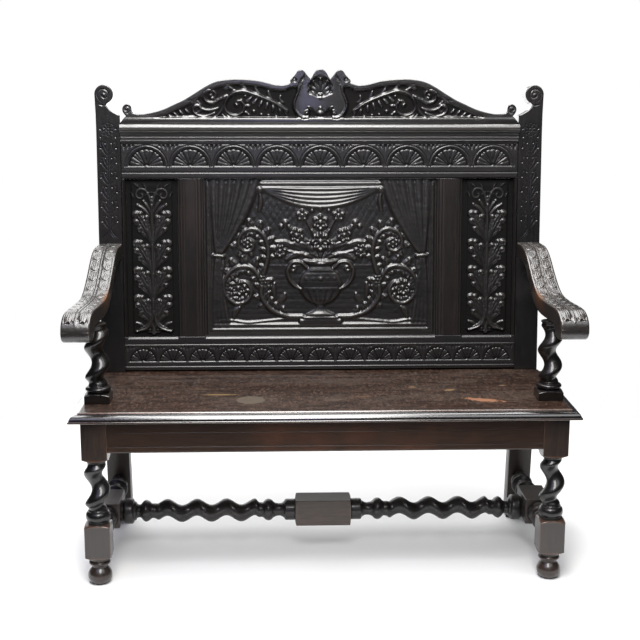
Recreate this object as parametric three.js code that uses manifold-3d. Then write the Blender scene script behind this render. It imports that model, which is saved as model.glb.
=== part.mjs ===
import * as THREE from 'three';
import Module from 'manifold-3d';

// Carved oak settle bench. Millimetres, +Z up, the front of the bench faces -Y.
// Drawing frame: X = 0 on the centre line, Y = 0 at the front legs' front face,
// Z = 0 on the floor. The finished group is centred on its own box in X and Y.

const GAP = 0.3;                       // clearance between neighbouring pieces

// overall
const SEAT_TOP = 470, SEAT_THICK = 24, SEAT_OVER_X = 655, SEAT_FRONT = -22;
const RAIL_TOP = SEAT_TOP - SEAT_THICK, RAIL_BOTTOM = 363, RAIL_THICK = 22;
// front legs
const LEG_X = 593, LEG_Y = 33, LEG_HALF = 33, LEG_TWIST_R = 23.5, LEG_TWIST_E = 9.5, LEG_PITCH = 85;
// rear posts: one board each, raked back above the seat and back again below it
const POST_IN = 561, POST_OUT = 627, POST_THICK = 48, BACK_Y = 423;
const RAKE = 0.0744, LEG_RAKE = 0.1018;
// back frame, heights along the raked plane measured from the seat
const LOWER_RAIL_H = 101, UPPER_RAIL_H0 = 551, UPPER_RAIL_H1 = 703, CORNICE_H0 = 655.3;
const BOARD_FRONT = 2, BOARD_BACK = 30, PANEL_FRONT = 17, PANEL_BACK = 25;
const LOWER_LUNETTES = 13, LOWER_PITCH = 84.9, UPPER_LUNETTES = 9, UPPER_PITCH = 122.5;
const MUNTIN_IN = 331.5, MUNTIN_OUT = 405.7, STILE_IN = 551;
const CREST_BASE = 703.3, CREST_TOP = 855.7;
// stretchers
const STRETCH_Z = 125, MEDIAL_Z = 118.5, STRETCH_Y = 240, STRETCH_SQ = 35, MEDIAL_PITCH = 82;
// arms
const ARM_X0 = 595.5, ARM_X1 = 630, ARM_W0 = 33, ARM_W1 = 36.5, ARM_LEN = 450;
const SUPPORT_Y = 113, ARM_UNDER = 679, ARM_PITCH = 80, ARM_SUP_X = 593, SUP_TENON_R = 8, SUP_TENON_OUT = 8;

const wasm = await Module();
wasm.setup();
const { Manifold, Mesh } = wasm;

const T = Math.tan(RAKE), C = Math.cos(RAKE), S = Math.sin(RAKE);
const back = (x, v, h) => [x, BACK_Y + v * C + h * S, SEAT_TOP + h * C - v * S];
const flat = (x, y, z) => [x, y, z];

// ---- solids -------------------------------------------------------------
function solid(points, tris) {
  const m = new Mesh({
    numProp: 3,
    vertProperties: new Float32Array(points.flat()),
    triVerts: new Uint32Array(tris.flat()),
  });
  let s = new Manifold(m);
  if (s.volume() < 0) {
    s = new Manifold(new Mesh({
      numProp: 3,
      vertProperties: new Float32Array(points.flat()),
      triVerts: new Uint32Array(tris.map(([a, b, c]) => [a, c, b]).flat()),
    }));
  }
  return s;
}

// rings of equal length joined side by side, closed by a flat cap at each end
function loft(rings, capPlane) {
  const n = rings[0].length, pts = rings.flat(), tris = [];
  for (let i = 0; i + 1 < rings.length; i++) {
    for (let j = 0; j < n; j++) {
      const a = i * n + j, b = i * n + (j + 1) % n, c = a + n, d = b + n;
      tris.push([a, b, d], [a, d, c]);
    }
  }
  const cap = (ring, base, flip) => {
    const flat2 = ring.map((p) => new THREE.Vector2(p[capPlane[0]], p[capPlane[1]]));
    const ccw = !THREE.ShapeUtils.isClockWise(flat2);
    const order = ccw ? flat2.map((_, k) => k) : flat2.map((_, k) => k).reverse();
    const faces = THREE.ShapeUtils.triangulateShape(order.map((k) => flat2[k]), []);
    for (const f of faces) {
      const t = f.map((k) => base + order[k]);
      tris.push((ccw !== flip) ? t : [t[0], t[2], t[1]]);
    }
  };
  cap(rings[0], 0, true);
  cap(rings[rings.length - 1], (rings.length - 1) * n, false);
  return solid(pts, tris);
}

// outline of [a, b] pairs carried from c0 to c1; place(a, b, c) gives the point
function prism(outline, c0, c1, place, capPlane) {
  return loft([c0, c1].map((c) => outline.map(([a, b]) => place(a, b, c))), capPlane);
}
const alongX = (outline, x0, x1, fr = flat) => prism(outline, x0, x1, (a, b, c) => fr(c, a, b), [1, 2]);
const alongZ = (outline, z0, z1, fr = flat) => prism(outline, z0, z1, (a, b, c) => fr(a, b, c), [0, 1]);
const alongY = (outline, y0, y1, fr = flat) => prism(outline, y0, y1, (a, b, c) => fr(a, c, b), [0, 2]);
const box = (x0, x1, y0, y1, z0, z1, fr = flat) =>
  alongZ([[x0, y0], [x1, y0], [x1, y1], [x0, y1]], z0, z1, fr);
const grown = (x0, x1, y0, y1, z0, z1, fr = flat) =>
  box(x0 - GAP, x1 + GAP, y0 - GAP, y1 + GAP, z0 - GAP, z1 + GAP, fr);
const mirror = (s) => s.mirror([1, 0, 0]);

// ---- turnings -----------------------------------------------------------
// A section is 16 points, square or round. Stations: { w, r, sq, e, phi, shear }
const NS = 16;
function section(st) {
  const out = [];
  for (let k = 0; k < NS; k++) {
    const t = (k / NS) * Math.PI * 2, c = Math.cos(t), s = Math.sin(t);
    const q = st.sq ? st.sq / Math.max(Math.abs(c), Math.abs(s)) : st.r;
    const lim = st.cut ? Math.min(q, st.cut) : q;
    const e = st.e || 0, ph = st.phi || 0;
    const u = lim * c + e * Math.cos(ph), v = lim * s + e * Math.sin(ph);
    out.push([u, v, st.w + (st.shear || 0) * v]);
  }
  return out;
}
function turned(stations, place, capPlane) {
  return loft(stations.map((st) => section(st).map(([u, v, w]) => place(u, v, w))), capPlane);
}
// single-strand barley twist between w0 and w1, coming out of a plain neck
function twist(w0, w1, r, e, pitch, phase, hand = 1, ramp = 16, steps = 9) {
  const n = Math.round(((w1 - w0) / pitch) * steps), out = [];
  for (let i = 0; i <= n; i++) {
    const w = w0 + ((w1 - w0) * i) / n;
    const k = Math.min(1, (w - w0) / ramp, (w1 - w) / ramp);
    const f = k * k * (3 - 2 * k);
    out.push({ w, r, e: e * f, phi: phase + (hand * 2 * Math.PI * w) / pitch });
  }
  return out;
}
const bead = (w0, w1, r0, r1) => [0.08, 0.36, 0.64, 0.92].map((t) => ({
  w: w0 + (w1 - w0) * t, r: r0 + (r1 - r0) * Math.sin(Math.PI * t) ** 0.6,
}));

// ---- front legs ----------------------------------------------------------
function frontLeg(bulge) {
  const phase = Math.PI - (2 * Math.PI * bulge) / LEG_PITCH;
  const st = [
    { w: 0, r: 17 }, { w: 4, r: 23.6 }, { w: 11, r: 29.2 }, { w: 21, r: 31.5 }, { w: 31, r: 29.4 }, { w: 39.5, r: 24.6 },
    { w: 44.5, r: 20.2 }, { w: 49.5, r: 20.2 },
    { w: 52, r: 24.8 }, { w: 57, r: 28.1 }, { w: 61, r: 26.4 }, { w: 63, r: 23.8 }, { w: 71, r: 25.4 },
    { w: 71, sq: 28.5 }, { w: 78.5, sq: LEG_HALF }, { w: 161, sq: LEG_HALF }, { w: 168, sq: 28.5 },
    { w: 168, r: 25.5 }, { w: 172, r: 27 },
    ...bead(172, 198, 27, 31.5),
    { w: 198, r: 25.5 }, { w: 203, r: LEG_TWIST_R },
    ...twist(206, 328, LEG_TWIST_R, LEG_TWIST_E, LEG_PITCH, phase),
    { w: 333, r: 26 }, { w: 336, r: 28 }, { w: 336, sq: 28 }, { w: 345, sq: LEG_HALF },
    { w: RAIL_TOP - GAP, sq: LEG_HALF },
  ];
  return turned(st, (u, v, w) => [LEG_X + u, LEG_Y + v, w], [0, 1]);
}
function legJoints(leg) {           // right-hand side; the left is its mirror
  return leg
    .subtract(grown(LEG_X - LEG_HALF - 5, LEG_X - LEG_HALF + 30, 6, 16, 378, 432))
    .subtract(grown(609, 619, LEG_Y + LEG_HALF - 28, LEG_Y + LEG_HALF + 5, 378, 432))
    .subtract(turned([{ w: 42 - GAP, r: 11 + GAP }, { w: 72, r: 11 + GAP }],
      (u, v, w) => [LEG_X + u, w, STRETCH_Z + v], [0, 2]));
}

// ---- rear posts ----------------------------------------------------------
function arc(cx, cy, r, a0, a1, n) {
  const out = [];
  for (let i = 0; i <= n; i++) {
    const a = ((a0 + ((a1 - a0) * i) / n) * Math.PI) / 180;
    out.push([cx + r * Math.cos(a), cy + r * Math.sin(a)]);
  }
  return out;
}
function rearPost() {
  const yb = (z) => BACK_Y + (z > SEAT_TOP ? (z - SEAT_TOP) * T : (SEAT_TOP - z) * Math.tan(LEG_RAKE));
  const th = POST_THICK / C;
  const side = alongX([
    [yb(0), 0], [yb(0) + th, 0], [BACK_Y + th, SEAT_TOP], [yb(1300) + th, 1300], [yb(1300), 1300], [BACK_Y, SEAT_TOP],
  ], 500, 700);
  // scrolled head: concave sweep from the inner edge, then round the scroll
  const face = alongY([
    [POST_OUT, -520], [POST_OUT + 1, 700], [629.7, 775], ...arc(604.5, 785.8, 25.8, -8, 246, 18),
    [598.4, 757.8], [597.6, 753.4], [590.4, 744.7], [583.2, 739.1], [573.5, 733.4], [566.5, 730], [POST_IN, 728], [POST_IN, -520],
  ], -260, 320, back);
  return side.intersect(face)
    .subtract(grown(POST_IN - 5, POST_IN + 30, 12, 22, 575, 680, back))       // upper rail tenon
    .subtract(grown(POST_IN - 5, POST_IN + 30, 12, 22, 22, 85, back))         // lower rail tenon
    .subtract(grown(POST_IN - 5, POST_IN + 28, 446, 456, 378, 432))           // rear seat rail
    .subtract(grown(609, 619, 415, 452, 378, 432))                            // side rail
    .subtract(grown(585, 606, 430, 474, 803, 827))                            // arm tenon
    .subtract(turned([{ w: 440, r: 11 + GAP }, { w: 480 + GAP, r: 11 + GAP }],
      (u, v, w) => [LEG_X + u, w, STRETCH_Z + v], [0, 2]));
}

// ---- seat and its rails ----------------------------------------------------
function seatBoard() {
  const ring = (d, z) => [
    [-SEAT_OVER_X + d, SEAT_FRONT + d], [SEAT_OVER_X - d, SEAT_FRONT + d], [SEAT_OVER_X - d, BACK_Y - GAP],
    [POST_IN - GAP, BACK_Y - GAP], [POST_IN - GAP, 453], [-POST_IN + GAP, 453],
    [-POST_IN + GAP, BACK_Y - GAP], [-SEAT_OVER_X + d, BACK_Y - GAP],
  ].map(([x, y]) => [x, y, z]);
  const board = loft([
    ring(21.5, RAIL_TOP), ring(1, RAIL_TOP + 0.8), ring(0, RAIL_TOP + 2), ring(0, RAIL_TOP + 4.6), ring(2.6, RAIL_TOP + 5),
    ring(3.6, RAIL_TOP + 9.8), ring(7.4, RAIL_TOP + 15.2), ring(13, RAIL_TOP + 18.4), ring(19, RAIL_TOP + 19.4),
    ring(22.6, RAIL_TOP + 19.5), ring(23.2, RAIL_TOP + 21.8), ring(25.6, RAIL_TOP + 23.5), ring(28.5, SEAT_TOP),
  ], [0, 1]);
  const hole = turned([{ w: SEAT_TOP - 18 - GAP, r: 11 + GAP }, { w: SEAT_TOP + 8, r: 11 + GAP }],
    (u, v, w) => [LEG_X + u, SUPPORT_Y + v, w], [0, 1]);
  return board.subtract(hole).subtract(mirror(hole));
}
function frontApron() {
  const x = LEG_X - LEG_HALF - GAP, z0 = RAIL_BOTTOM, z1 = RAIL_TOP - GAP;
  const groove = (z) => [[0, z - 2.2], [1.8, z - 0.7], [1.8, z + 0.7], [0, z + 2.2]];
  const body = alongX([[RAIL_THICK, z1], [RAIL_THICK, z0], [1.2, z0], [0, z0 + 1.2], ...groove(379), ...groove(416), [0, z1]], -x, x);
  return body.add(box(x - 4, x + 30 - GAP, 6, 16, 378, 432)).add(box(-x - 30 + GAP, -x + 4, 6, 16, 378, 432));
}
function sideApron() {
  const x0 = 603.5, x1 = LEG_X + LEG_HALF - 0.5, y0 = LEG_Y + LEG_HALF + GAP, z0 = RAIL_BOTTOM, z1 = RAIL_TOP - GAP;
  const yr = (z) => BACK_Y + (SEAT_TOP - z) * Math.tan(LEG_RAKE) - GAP;
  return alongX([[y0, z0], [yr(z0), z0], [yr(z1), z1], [y0, z1]], x0, x1)
    .add(box(609, 619, y0 - 28 + GAP, y0 + 4, 378, 432))
    .add(box(609, 619, 420, 452, 378, 432));
}
function rearRail() {
  const x = POST_IN - GAP;
  return box(-x, x, 441, 463, RAIL_BOTTOM, RAIL_TOP - GAP)
    .add(box(x - 4, x + 28, 446, 456, 378, 432)).add(box(-x - 28, -x + 4, 446, 456, 378, 432));
}
const glueBlock = (x0, x1, y, dir) => alongX(
  [[y, RAIL_TOP - GAP], [y, RAIL_TOP - 26], [y + dir * 3, RAIL_TOP - 26], [y + dir * 26, RAIL_TOP - 3], [y + dir * 26, RAIL_TOP - GAP]], x0, x1);

// ---- stretchers --------------------------------------------------------------
function sideStretcher() {
  const y0 = LEG_Y + LEG_HALF + GAP, b0 = STRETCH_Y - 60, b1 = STRETCH_Y + 64;
  const yr = BACK_Y + (SEAT_TOP - STRETCH_Z) * Math.tan(LEG_RAKE) - GAP, sh = -Math.tan(LEG_RAKE);
  const st = [
    { w: 42, r: 11 }, { w: y0, r: 11 }, { w: y0, r: 25 }, { w: y0 + 10, r: 25 }, { w: y0 + 12, r: 19 },
    { w: y0 + 26, r: 17.5 }, { w: y0 + 40, r: 20 }, ...bead(y0 + 42, y0 + 60, 20, 30), { w: y0 + 62, r: 20 },
    { w: y0 + 78, r: 18 }, { w: y0 + 90, r: 21 }, { w: y0 + 94, r: 26 }, { w: y0 + 104, r: 29.5 },
    { w: b0, r: 29.5 }, { w: b0, sq: 32 }, { w: b0 + 3, sq: STRETCH_SQ }, { w: b1 - 3, sq: STRETCH_SQ }, { w: b1, sq: 32 }, { w: b1, r: 28 },
    { w: b1 + 9, r: 29.5 }, { w: b1 + 12, r: 21 }, { w: b1 + 24, r: 18 }, { w: b1 + 34, r: 20 },
    ...bead(b1 + 36, b1 + 54, 20, 31), { w: b1 + 56, r: 20 }, { w: b1 + 76, r: 17.5 }, { w: b1 + 92, r: 20 },
    ...bead(b1 + 94, b1 + 110, 20, 31), { w: b1 + 112, r: 21 },
    { w: yr - 24, r: 21 }, { w: yr - 18, r: 25, shear: sh * 0.5 }, { w: yr, r: 25, shear: sh }, { w: yr, r: 11, shear: sh }, { w: 479, r: 11 },
  ];
  return turned(st, (u, v, w) => [LEG_X + u, w, STRETCH_Z + v], [0, 2])
    .subtract(turned([{ w: LEG_X - STRETCH_SQ - 6, r: 10 + GAP }, { w: LEG_X - STRETCH_SQ + 22 + GAP, r: 10 + GAP }],
      (u, v, w) => [w, STRETCH_Y + u, MEDIAL_Z + v], [1, 2]));
}
function medialStretcher() {
  const xe = LEG_X - STRETCH_SQ - GAP;
  // right half outward from the centre block: [distance from the middle, radius]
  const half = (s, top) => {
    const w = (q) => s * q;
    const tw = twist(181, 463, 23.5, 8.5, MEDIAL_PITCH, 0, 1, 14, 6)
      .map((t) => ({ ...t, w: w(t.w), phi: Math.PI / 2 + (2 * Math.PI * (s * t.w - top)) / MEDIAL_PITCH }));
    return [
      { w: w(76), sq: STRETCH_SQ + 1 }, { w: w(78), sq: 34 }, { w: w(78), r: 27.5 }, { w: w(81), r: 29 }, { w: w(105), r: 29 },
      { w: w(111), r: 24 }, { w: w(123), r: 17.5 }, { w: w(134), r: 20 }, { w: w(144), r: 26.5 }, { w: w(152), r: 30 },
      { w: w(160), r: 26.5 }, { w: w(169), r: 20 }, ...tw,
      { w: w(475), r: 20 }, { w: w(483), r: 26 }, { w: w(491), r: 30 }, { w: w(498), r: 26 },
      { w: w(505), r: 19 }, { w: w(511), r: 18 }, { w: w(517), r: 20.5 }, { w: w(520), r: 26 }, { w: w(524), r: 27.5 },
      { w: w(528), r: 35 }, { w: w(549), r: 35.4 }, { w: w(553), r: 31 }, { w: w(xe), r: 29.4 }, { w: w(xe), r: 10 }, { w: w(xe + 21.5), r: 10 },
    ];
  };
  const left = half(-1, -346).reverse(), right = half(1, 300);
  return turned([...left, ...right], (u, v, w) => [w, STRETCH_Y + u, MEDIAL_Z + v], [1, 2]);
}

// ---- arms ----------------------------------------------------------------------
const armC = (y) => ARM_X1 + ((ARM_X0 - ARM_X1) * Math.max(0, y)) / ARM_LEN;
const armW = (y) => ARM_W1 + ((ARM_W0 - ARM_W1) * Math.max(0, y)) / ARM_LEN;
function arm() {
  const yr = (z) => BACK_Y + (z - SEAT_TOP) * T - GAP;
  const outline = [
    [yr(837), 837], [425, 837.5], [400, 836.5], [378, 831.5], [358, 822], [338, 808], [318, 791], [298, 774.5],
    [276, 757.5], [254, 743], [230, 732], [205, 726.5], [170, 724], [130, 723.5], [95, 724], [65, 723.5], [48, 722],
    [34, 718.5], [21, 712], [10.5, 703], [3.5, 692], [0.4, 680], [1.2, 668], [6, 657.5], [14, 650.5], [25, 647.2],
    [36, 648], [47, 652.5], [56, 660], [64, 669], [74, 676], [84, ARM_UNDER], [148, ARM_UNDER], [180, 679.5], [208, 682],
    [232, 687.5], [255, 697], [277, 710.5], [298, 727], [318, 745], [336, 762], [353, 776.5], [372, 787.5], [395, 793], [420, 794],
    [yr(794), 794],
  ];
  const a = prism(outline, -1, 1, (y, z, c) => [armC(y) + c * armW(y), y, z], [1, 2]);
  return a.add(box(585, 606, 438, 473, 803, 827))
    .subtract(turned([{ w: ARM_UNDER - 6, r: SUP_TENON_R + GAP }, { w: ARM_UNDER + 20 + GAP, r: SUP_TENON_R + GAP }],
      (u, v, w) => [ARM_SUP_X + SUP_TENON_OUT + u, SUPPORT_Y + v, w], [0, 1]));
}
// the arm's underside sits partly outboard of its support, so the top tenon is set outward
function armSupport(bulge, out) {
  const phase = Math.PI - (2 * Math.PI * bulge) / ARM_PITCH;
  const st = [
    { w: SEAT_TOP - 18, r: 11 }, { w: SEAT_TOP + GAP, r: 11 }, { w: SEAT_TOP + GAP, sq: 31.5 }, { w: SEAT_TOP + 3, sq: LEG_HALF },
    { w: 490, sq: LEG_HALF }, { w: 497, sq: 28 }, { w: 497, r: 26 },
    ...bead(497, 512, 25.5, 33), { w: 513, r: 25 }, { w: 517, r: 23.5 },
    ...twist(519, 672, 23.5, 9, ARM_PITCH, phase),
    { w: 675, r: 25 }, { w: ARM_UNDER - GAP, r: 26 },
    { w: ARM_UNDER - GAP, r: SUP_TENON_R, e: SUP_TENON_OUT, phi: out }, { w: ARM_UNDER + 20, r: SUP_TENON_R, e: SUP_TENON_OUT, phi: out },
  ];
  return turned(st, (u, v, w) => [ARM_SUP_X + u, SUPPORT_Y + v, w], [0, 1]);
}

// ---- carving -----------------------------------------------------------------------
const RELIEF = 6;                      // how far the carved leaves stand off their ground
// a tapering rib along pts [x, h], half width w0 at the root to w1 at the tip
function rib(pts, w0, w1, v0, v1) {
  const l = [], r = [], n = pts.length - 1;
  for (let i = 0; i <= n; i++) {
    const a = pts[Math.max(0, i - 1)], b = pts[Math.min(n, i + 1)];
    const dx = b[0] - a[0], dh = b[1] - a[1], d = Math.hypot(dx, dh), w = w0 + ((w1 - w0) * i) / n;
    l.push([pts[i][0] - (dh / d) * w, pts[i][1] + (dx / d) * w]);
    r.push([pts[i][0] + (dh / d) * w, pts[i][1] - (dx / d) * w]);
  }
  return alongY([...l, ...r.reverse()], v1, v0, back);
}
const disc = (x, h, r, n, v0, v1) => loft([[r, v0], [r, (v0 + v1) / 2], [r * 0.6, v1]].map(([q, v]) =>
  Array.from({ length: n }, (_, i) => back(x + q * Math.cos((2 * Math.PI * (i + 0.5)) / n), v, h + q * Math.sin((2 * Math.PI * (i + 0.5)) / n)))), [0, 2]);
const both = (list, x0 = 0) => [...list, ...list.map((pts) => pts.map(([x, h]) => [2 * x0 - x, h]))];
const bez = (a, b, c, n) => Array.from({ length: n + 1 }, (_, i) => {
  const t = i / n, u = 1 - t;
  return [u * u * a[0] + 2 * u * t * b[0] + t * t * c[0], u * u * a[1] + 2 * u * t * b[1] + t * t * c[1]];
});
const all = (list) => Manifold.union(list);
// sunk half round with a fan of five lobes left standing in it
function lunette(x, h, r, petals, deep, segs) {
  const f = BOARD_FRONT, fan = [];
  for (let i = 0; i < petals; i++) {
    const a = (Math.PI * (i + 0.5)) / petals, c = Math.cos(a), q = Math.sin(a), w = (r * 1.1) / petals, p = r * 0.62, t = r * 0.93;
    const at = (u, v) => [x + c * u - q * v, h + q * u + c * v];
    fan.push(alongY([at(r * 0.16, 0), at(p, -w), at(t, 0), at(p, w)], f + 0.4, f + deep + 1, back));
  }
  const half = arc(x, h, r, 0, 180, segs);
  return alongY(half, f - 2, f + deep, back).subtract(all(fan));
}
const cutLunettes = (rail, n, x0, pitch, h, r, band, petals, deep, segs) => {
  const cuts = [];
  for (let i = 0; i < n; i++) {
    const x = x0 + i * pitch;
    cuts.push(lunette(x, h, r - band, petals, deep, segs));
  }
  return rail.subtract(all(cuts));
};

// ---- back frame ------------------------------------------------------------------
function lowerRail() {
  const x = POST_IN - GAP, b = BOARD_FRONT, d = BOARD_BACK, H = LOWER_RAIL_H;
  const g = (h) => [[b, h - 1.6], [b + 1.6, h - 0.5], [b + 1.6, h + 0.5], [b, h + 1.6]];
  let r = alongX([[d, H], [d, 0.5 + d * T], [b, 0.5 + b * T], ...g(15), ...g(77), [b, H - 7], [b + 6, H]], -x, x, back);
  r = r.add(box(x - 4, x + 30, 12, 22, 22, 85, back)).add(box(-x - 30, -x + 4, 12, 22, 22, 85, back));
  r = r.subtract(box(-556, 556, PANEL_FRONT - GAP, PANEL_BACK + GAP, H - 8 - GAP, H + 9, back));
  for (const s of [-1, 1]) r = r.subtract(grown(s * 368.5 - 14, s * 368.5 + 14, PANEL_FRONT, PANEL_BACK, H - 20, H + 5, back));
  return cutLunettes(r, LOWER_LUNETTES, -LOWER_PITCH * (LOWER_LUNETTES - 1) / 2, LOWER_PITCH, 29, 42, 4, 3, 3.5, 6);
}
function upperRail() {
  const x = POST_IN - GAP, b = BOARD_FRONT, d = BOARD_BACK, H0 = UPPER_RAIL_H0, H1 = UPPER_RAIL_H1;
  const g = (h) => [[b, h - 1.6], [b + 1.6, h - 0.5], [b + 1.6, h + 0.5], [b, h + 1.6]];
  let r = alongX([[d, H1], [d, H0], [b + 4, H0], [b, H0 + 4], ...g(568), [b, H1]], -x, x, back);
  r = r.add(box(x - 4, x + 30, 12, 22, 575, 680, back)).add(box(-x - 30, -x + 4, 12, 22, 575, 680, back));
  r = r.subtract(box(-556, 556, PANEL_FRONT - GAP, PANEL_BACK + GAP, H0 - 9, H0 + 8 + GAP, back));
  for (const s of [-1, 1]) {
    r = r.subtract(grown(s * 368.5 - 14, s * 368.5 + 14, PANEL_FRONT, PANEL_BACK, H0 - 5, H0 + 20, back));
    r = r.subtract(grown(s * 250 - 30, s * 250 + 30, 12, 22, H1 - 14, H1 + 5, back));
  }
  return cutLunettes(r, UPPER_LUNETTES, -UPPER_PITCH * (UPPER_LUNETTES - 1) / 2, UPPER_PITCH, 585, 60.2, 8.4, 5, 4.5, 10);
}
function muntin() {
  const h0 = LOWER_RAIL_H + GAP, h1 = UPPER_RAIL_H0 - GAP, a = MUNTIN_IN, z = MUNTIN_OUT, b = BOARD_FRONT;
  const prof = [[a, b + 13], [a + 2.5, b + 9], [a + 5, b + 9], [a + 9, b + 5.5], [a + 14, b + 4.5], [a + 14.5, b + 2.2], [a + 18, b]];
  const m = alongZ([...prof, ...prof.map(([x, y]) => [a + z - x, y]).reverse(), [z, BOARD_BACK], [a, BOARD_BACK]], h0, h1, back);
  const c = (a + z) / 2;
  return m.add(box(c - 13.7, c + 13.7, PANEL_FRONT, PANEL_BACK, h0 - 19, h0 + 4, back))
    .add(box(c - 13.7, c + 13.7, PANEL_FRONT, PANEL_BACK, h1 - 4, h1 + 19, back))
    .subtract(box(a - 5, a + 8, PANEL_FRONT - GAP, PANEL_BACK + GAP, h0 - 30, h1 + 30, back)
      .subtract(box(a - 9, a + 40, 0, 40, h0 - 40, h0 - 25, back)))
    .subtract(box(z - 8, z + 5, PANEL_FRONT - GAP, PANEL_BACK + GAP, h0 - 30, h1 + 30, back));
}
function edgeStile() {
  const h0 = LOWER_RAIL_H + GAP, h1 = UPPER_RAIL_H0 - GAP;
  return alongZ([[STILE_IN, 8], [STILE_IN + 3, 4.5], [POST_IN - GAP, 4.5], [POST_IN - GAP, 28], [STILE_IN, 28]], h0, h1, back)
    .subtract(box(STILE_IN - 5, STILE_IN + 5, PANEL_FRONT - GAP, PANEL_BACK + GAP, h0 - 5, h1 + 5, back));
}
function panel(x0, x1, tx0, tx1, field) {
  const h0 = LOWER_RAIL_H, h1 = UPPER_RAIL_H0;
  const b = box(x0 - tx0, x1 + tx1, PANEL_FRONT, PANEL_BACK, h0 - 7, h1 + 7, back);
  const [fx0, fx1, fh0, fh1, v] = field, c = 2.5;
  const f = loft([[0, PANEL_FRONT + 2], [0, v + 2], [c, v]].map(([d, y]) =>
    [[fx0 + d, fh0 + d], [fx1 - d, fh0 + d], [fx1 - d, fh1 - d], [fx0 + d, fh1 - d]].map(([x, h]) => back(x, y, h))), [0, 2]);
  return b.add(f);
}
function leafPanel() {
  const c = (MUNTIN_OUT + STILE_IN) / 2, v = PANEL_FRONT - 3, top = v - RELIEF, o = (pts) => pts.map(([x, h]) => [c + x, h]);
  const one = [];
  const add = (pts, w0, w1) => one.push([pts, w0, w1]);
  for (const h of [217, 296, 374, 456]) {           // four tiers of side branches
    add(bez([4, h - 74], [14, h - 26], [45, h - 3], 3), 4, 4.2);
    add(bez([12, h - 52], [30, h - 48], [47, h - 26], 1), 2.2, 3.6);
    add(bez([8, h - 66], [22, h - 68], [38, h - 48], 1), 2, 3.4);
    add([[18, h - 34], [30, h + 1]], 2, 3);
  }
  add(bez([3, 412], [16, 462], [41, 478], 3), 3.5, 3.5);
  add(bez([5, 168], [8, 128], [50, 119], 3), 4, 3);  // outward foot of the stem
  add([[20, 136], [46, 168]], 3, 3.4);
  add(arc(24, 507, 17, 250, -20, 5), 3.4, 2.6);  // C scroll in the head
  add(arc(0, 478, 55, 62, 88, 2), 2.6, 2.6);
  const parts = [];
  for (const [pts, w0, w1] of one) for (const q of both([pts])) parts.push(rib(o(q), w0, w1, v + 1, top));
  parts.push(rib(o([[0, 138], [0, 240], [0, 400], [0, 478]]), 7, 3.5, v + 1, top - 1));
  parts.push(rib(o([[0, 118], [0, 128], [0, 137]]), 9, 1, v + 1, top));
  parts.push(disc(c, 500, 7, 6, v + 1, top));
  return panel(MUNTIN_OUT + GAP, STILE_IN - GAP, 7, 4, [c - 58, c + 58, 115, 537, v]).add(all(parts));
}
function centrePanel() {
  const v = PANEL_FRONT - 4, top = v - 7, parts = [], P = (q) => parts.push(q);
  const urn = [[0, 150], [40, 150], [40, 158], [24, 166], [13, 178], [13, 187], [32, 198], [53, 221], [63, 249], [60, 277],
    [46, 297], [35, 305], [35, 313], [51, 321], [55, 329], [0, 331]];
  P(alongY([...urn, ...urn.slice(1, -1).map(([x, h]) => [-x, h]).reverse()], top - 2, v + 1, back));
  P(box(-76, 76, top, v + 1, 132, 150.5, back));
  P(box(-306, 306, top + 3, v + 1, 116, 132.5, back));
  const spiral = (cx, cy, r0, r1, a0, turns, n) => Array.from({ length: n + 1 }, (_, i) => {
    const t = i / n, a = ((a0 + 360 * turns * t) * Math.PI) / 180, r = r0 + (r1 - r0) * Math.sqrt(t);
    return [cx + r * Math.cos(a), cy + r * Math.sin(a)];
  });
  const ribs = [
    [bez([58, 268], [104, 262], [96, 300], 4).concat(bez([94, 305], [84, 330], [48, 322], 3)), 4.5, 3.5],
    [bez([60, 140], [96, 150], [128, 190], 4), 7, 7],
    [spiral(196, 246, 88, 22, 200, -1.25, 14), 7.5, 4],
    [bez([250, 180], [300, 190], [304, 260], 5), 5, 4],
    [spiral(252, 396, 56, 14, -70, 1.2, 10), 5.5, 3.5],
    [bez([120, 320], [150, 372], [196, 392], 4), 5.5, 5],
    [bez([300, 262], [312, 320], [292, 352], 3), 4, 4],
    [bez([150, 168], [190, 142], [236, 150], 4), 6, 2.5],
    [bez([98, 210], [82, 190], [88, 160], 3), 5, 2],
  ];
  for (const [pts, w0, w1] of ribs) for (const q of both([pts])) P(rib(q, w0, w1, v + 1, top));
  for (const s of [-1, 1]) {
    for (const [x, h, r, n] of [[196, 246, 20, 8], [252, 396, 14, 6], [48, 372, 25, 8], [26, 428, 21, 8], [86, 345, 17, 6], [76, 418, 18, 6],
      [110, 506, 13, 6], [300, 506, 13, 6]]) P(disc(s * x, h, r, n, v + 1, top - 1));
    P(rib(bez([s * 112, 505], [s * 205, 446], [s * 298, 505], 4), 8, 8, v + 1, top + 1));
    P(rib(bez([s * 92, 380], [s * 122, 400], [s * 128, 440], 3), 7, 1.5, v + 1, top + 1));
    P(rib(bez([s * 40, 448], [s * 66, 470], [s * 72, 496], 3), 7, 1.5, v + 1, top + 1));
    P(rib(bez([s * 104, 332], [s * 132, 330], [s * 150, 306], 3), 6, 1.5, v + 1, top + 1));
  }
  P(disc(0, 392, 29, 12, v + 1, top - 1.5));
  P(disc(0, 462, 19, 9, v + 1, top - 1));
  P(rib(bez([-108, 505], [0, 458], [108, 505], 6), 6, 6, v + 1, top + 2));
  return panel(-MUNTIN_IN + GAP, MUNTIN_IN - GAP, 7, 7, [-325, 325, 108, 544, v]).add(all(parts));
}
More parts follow.
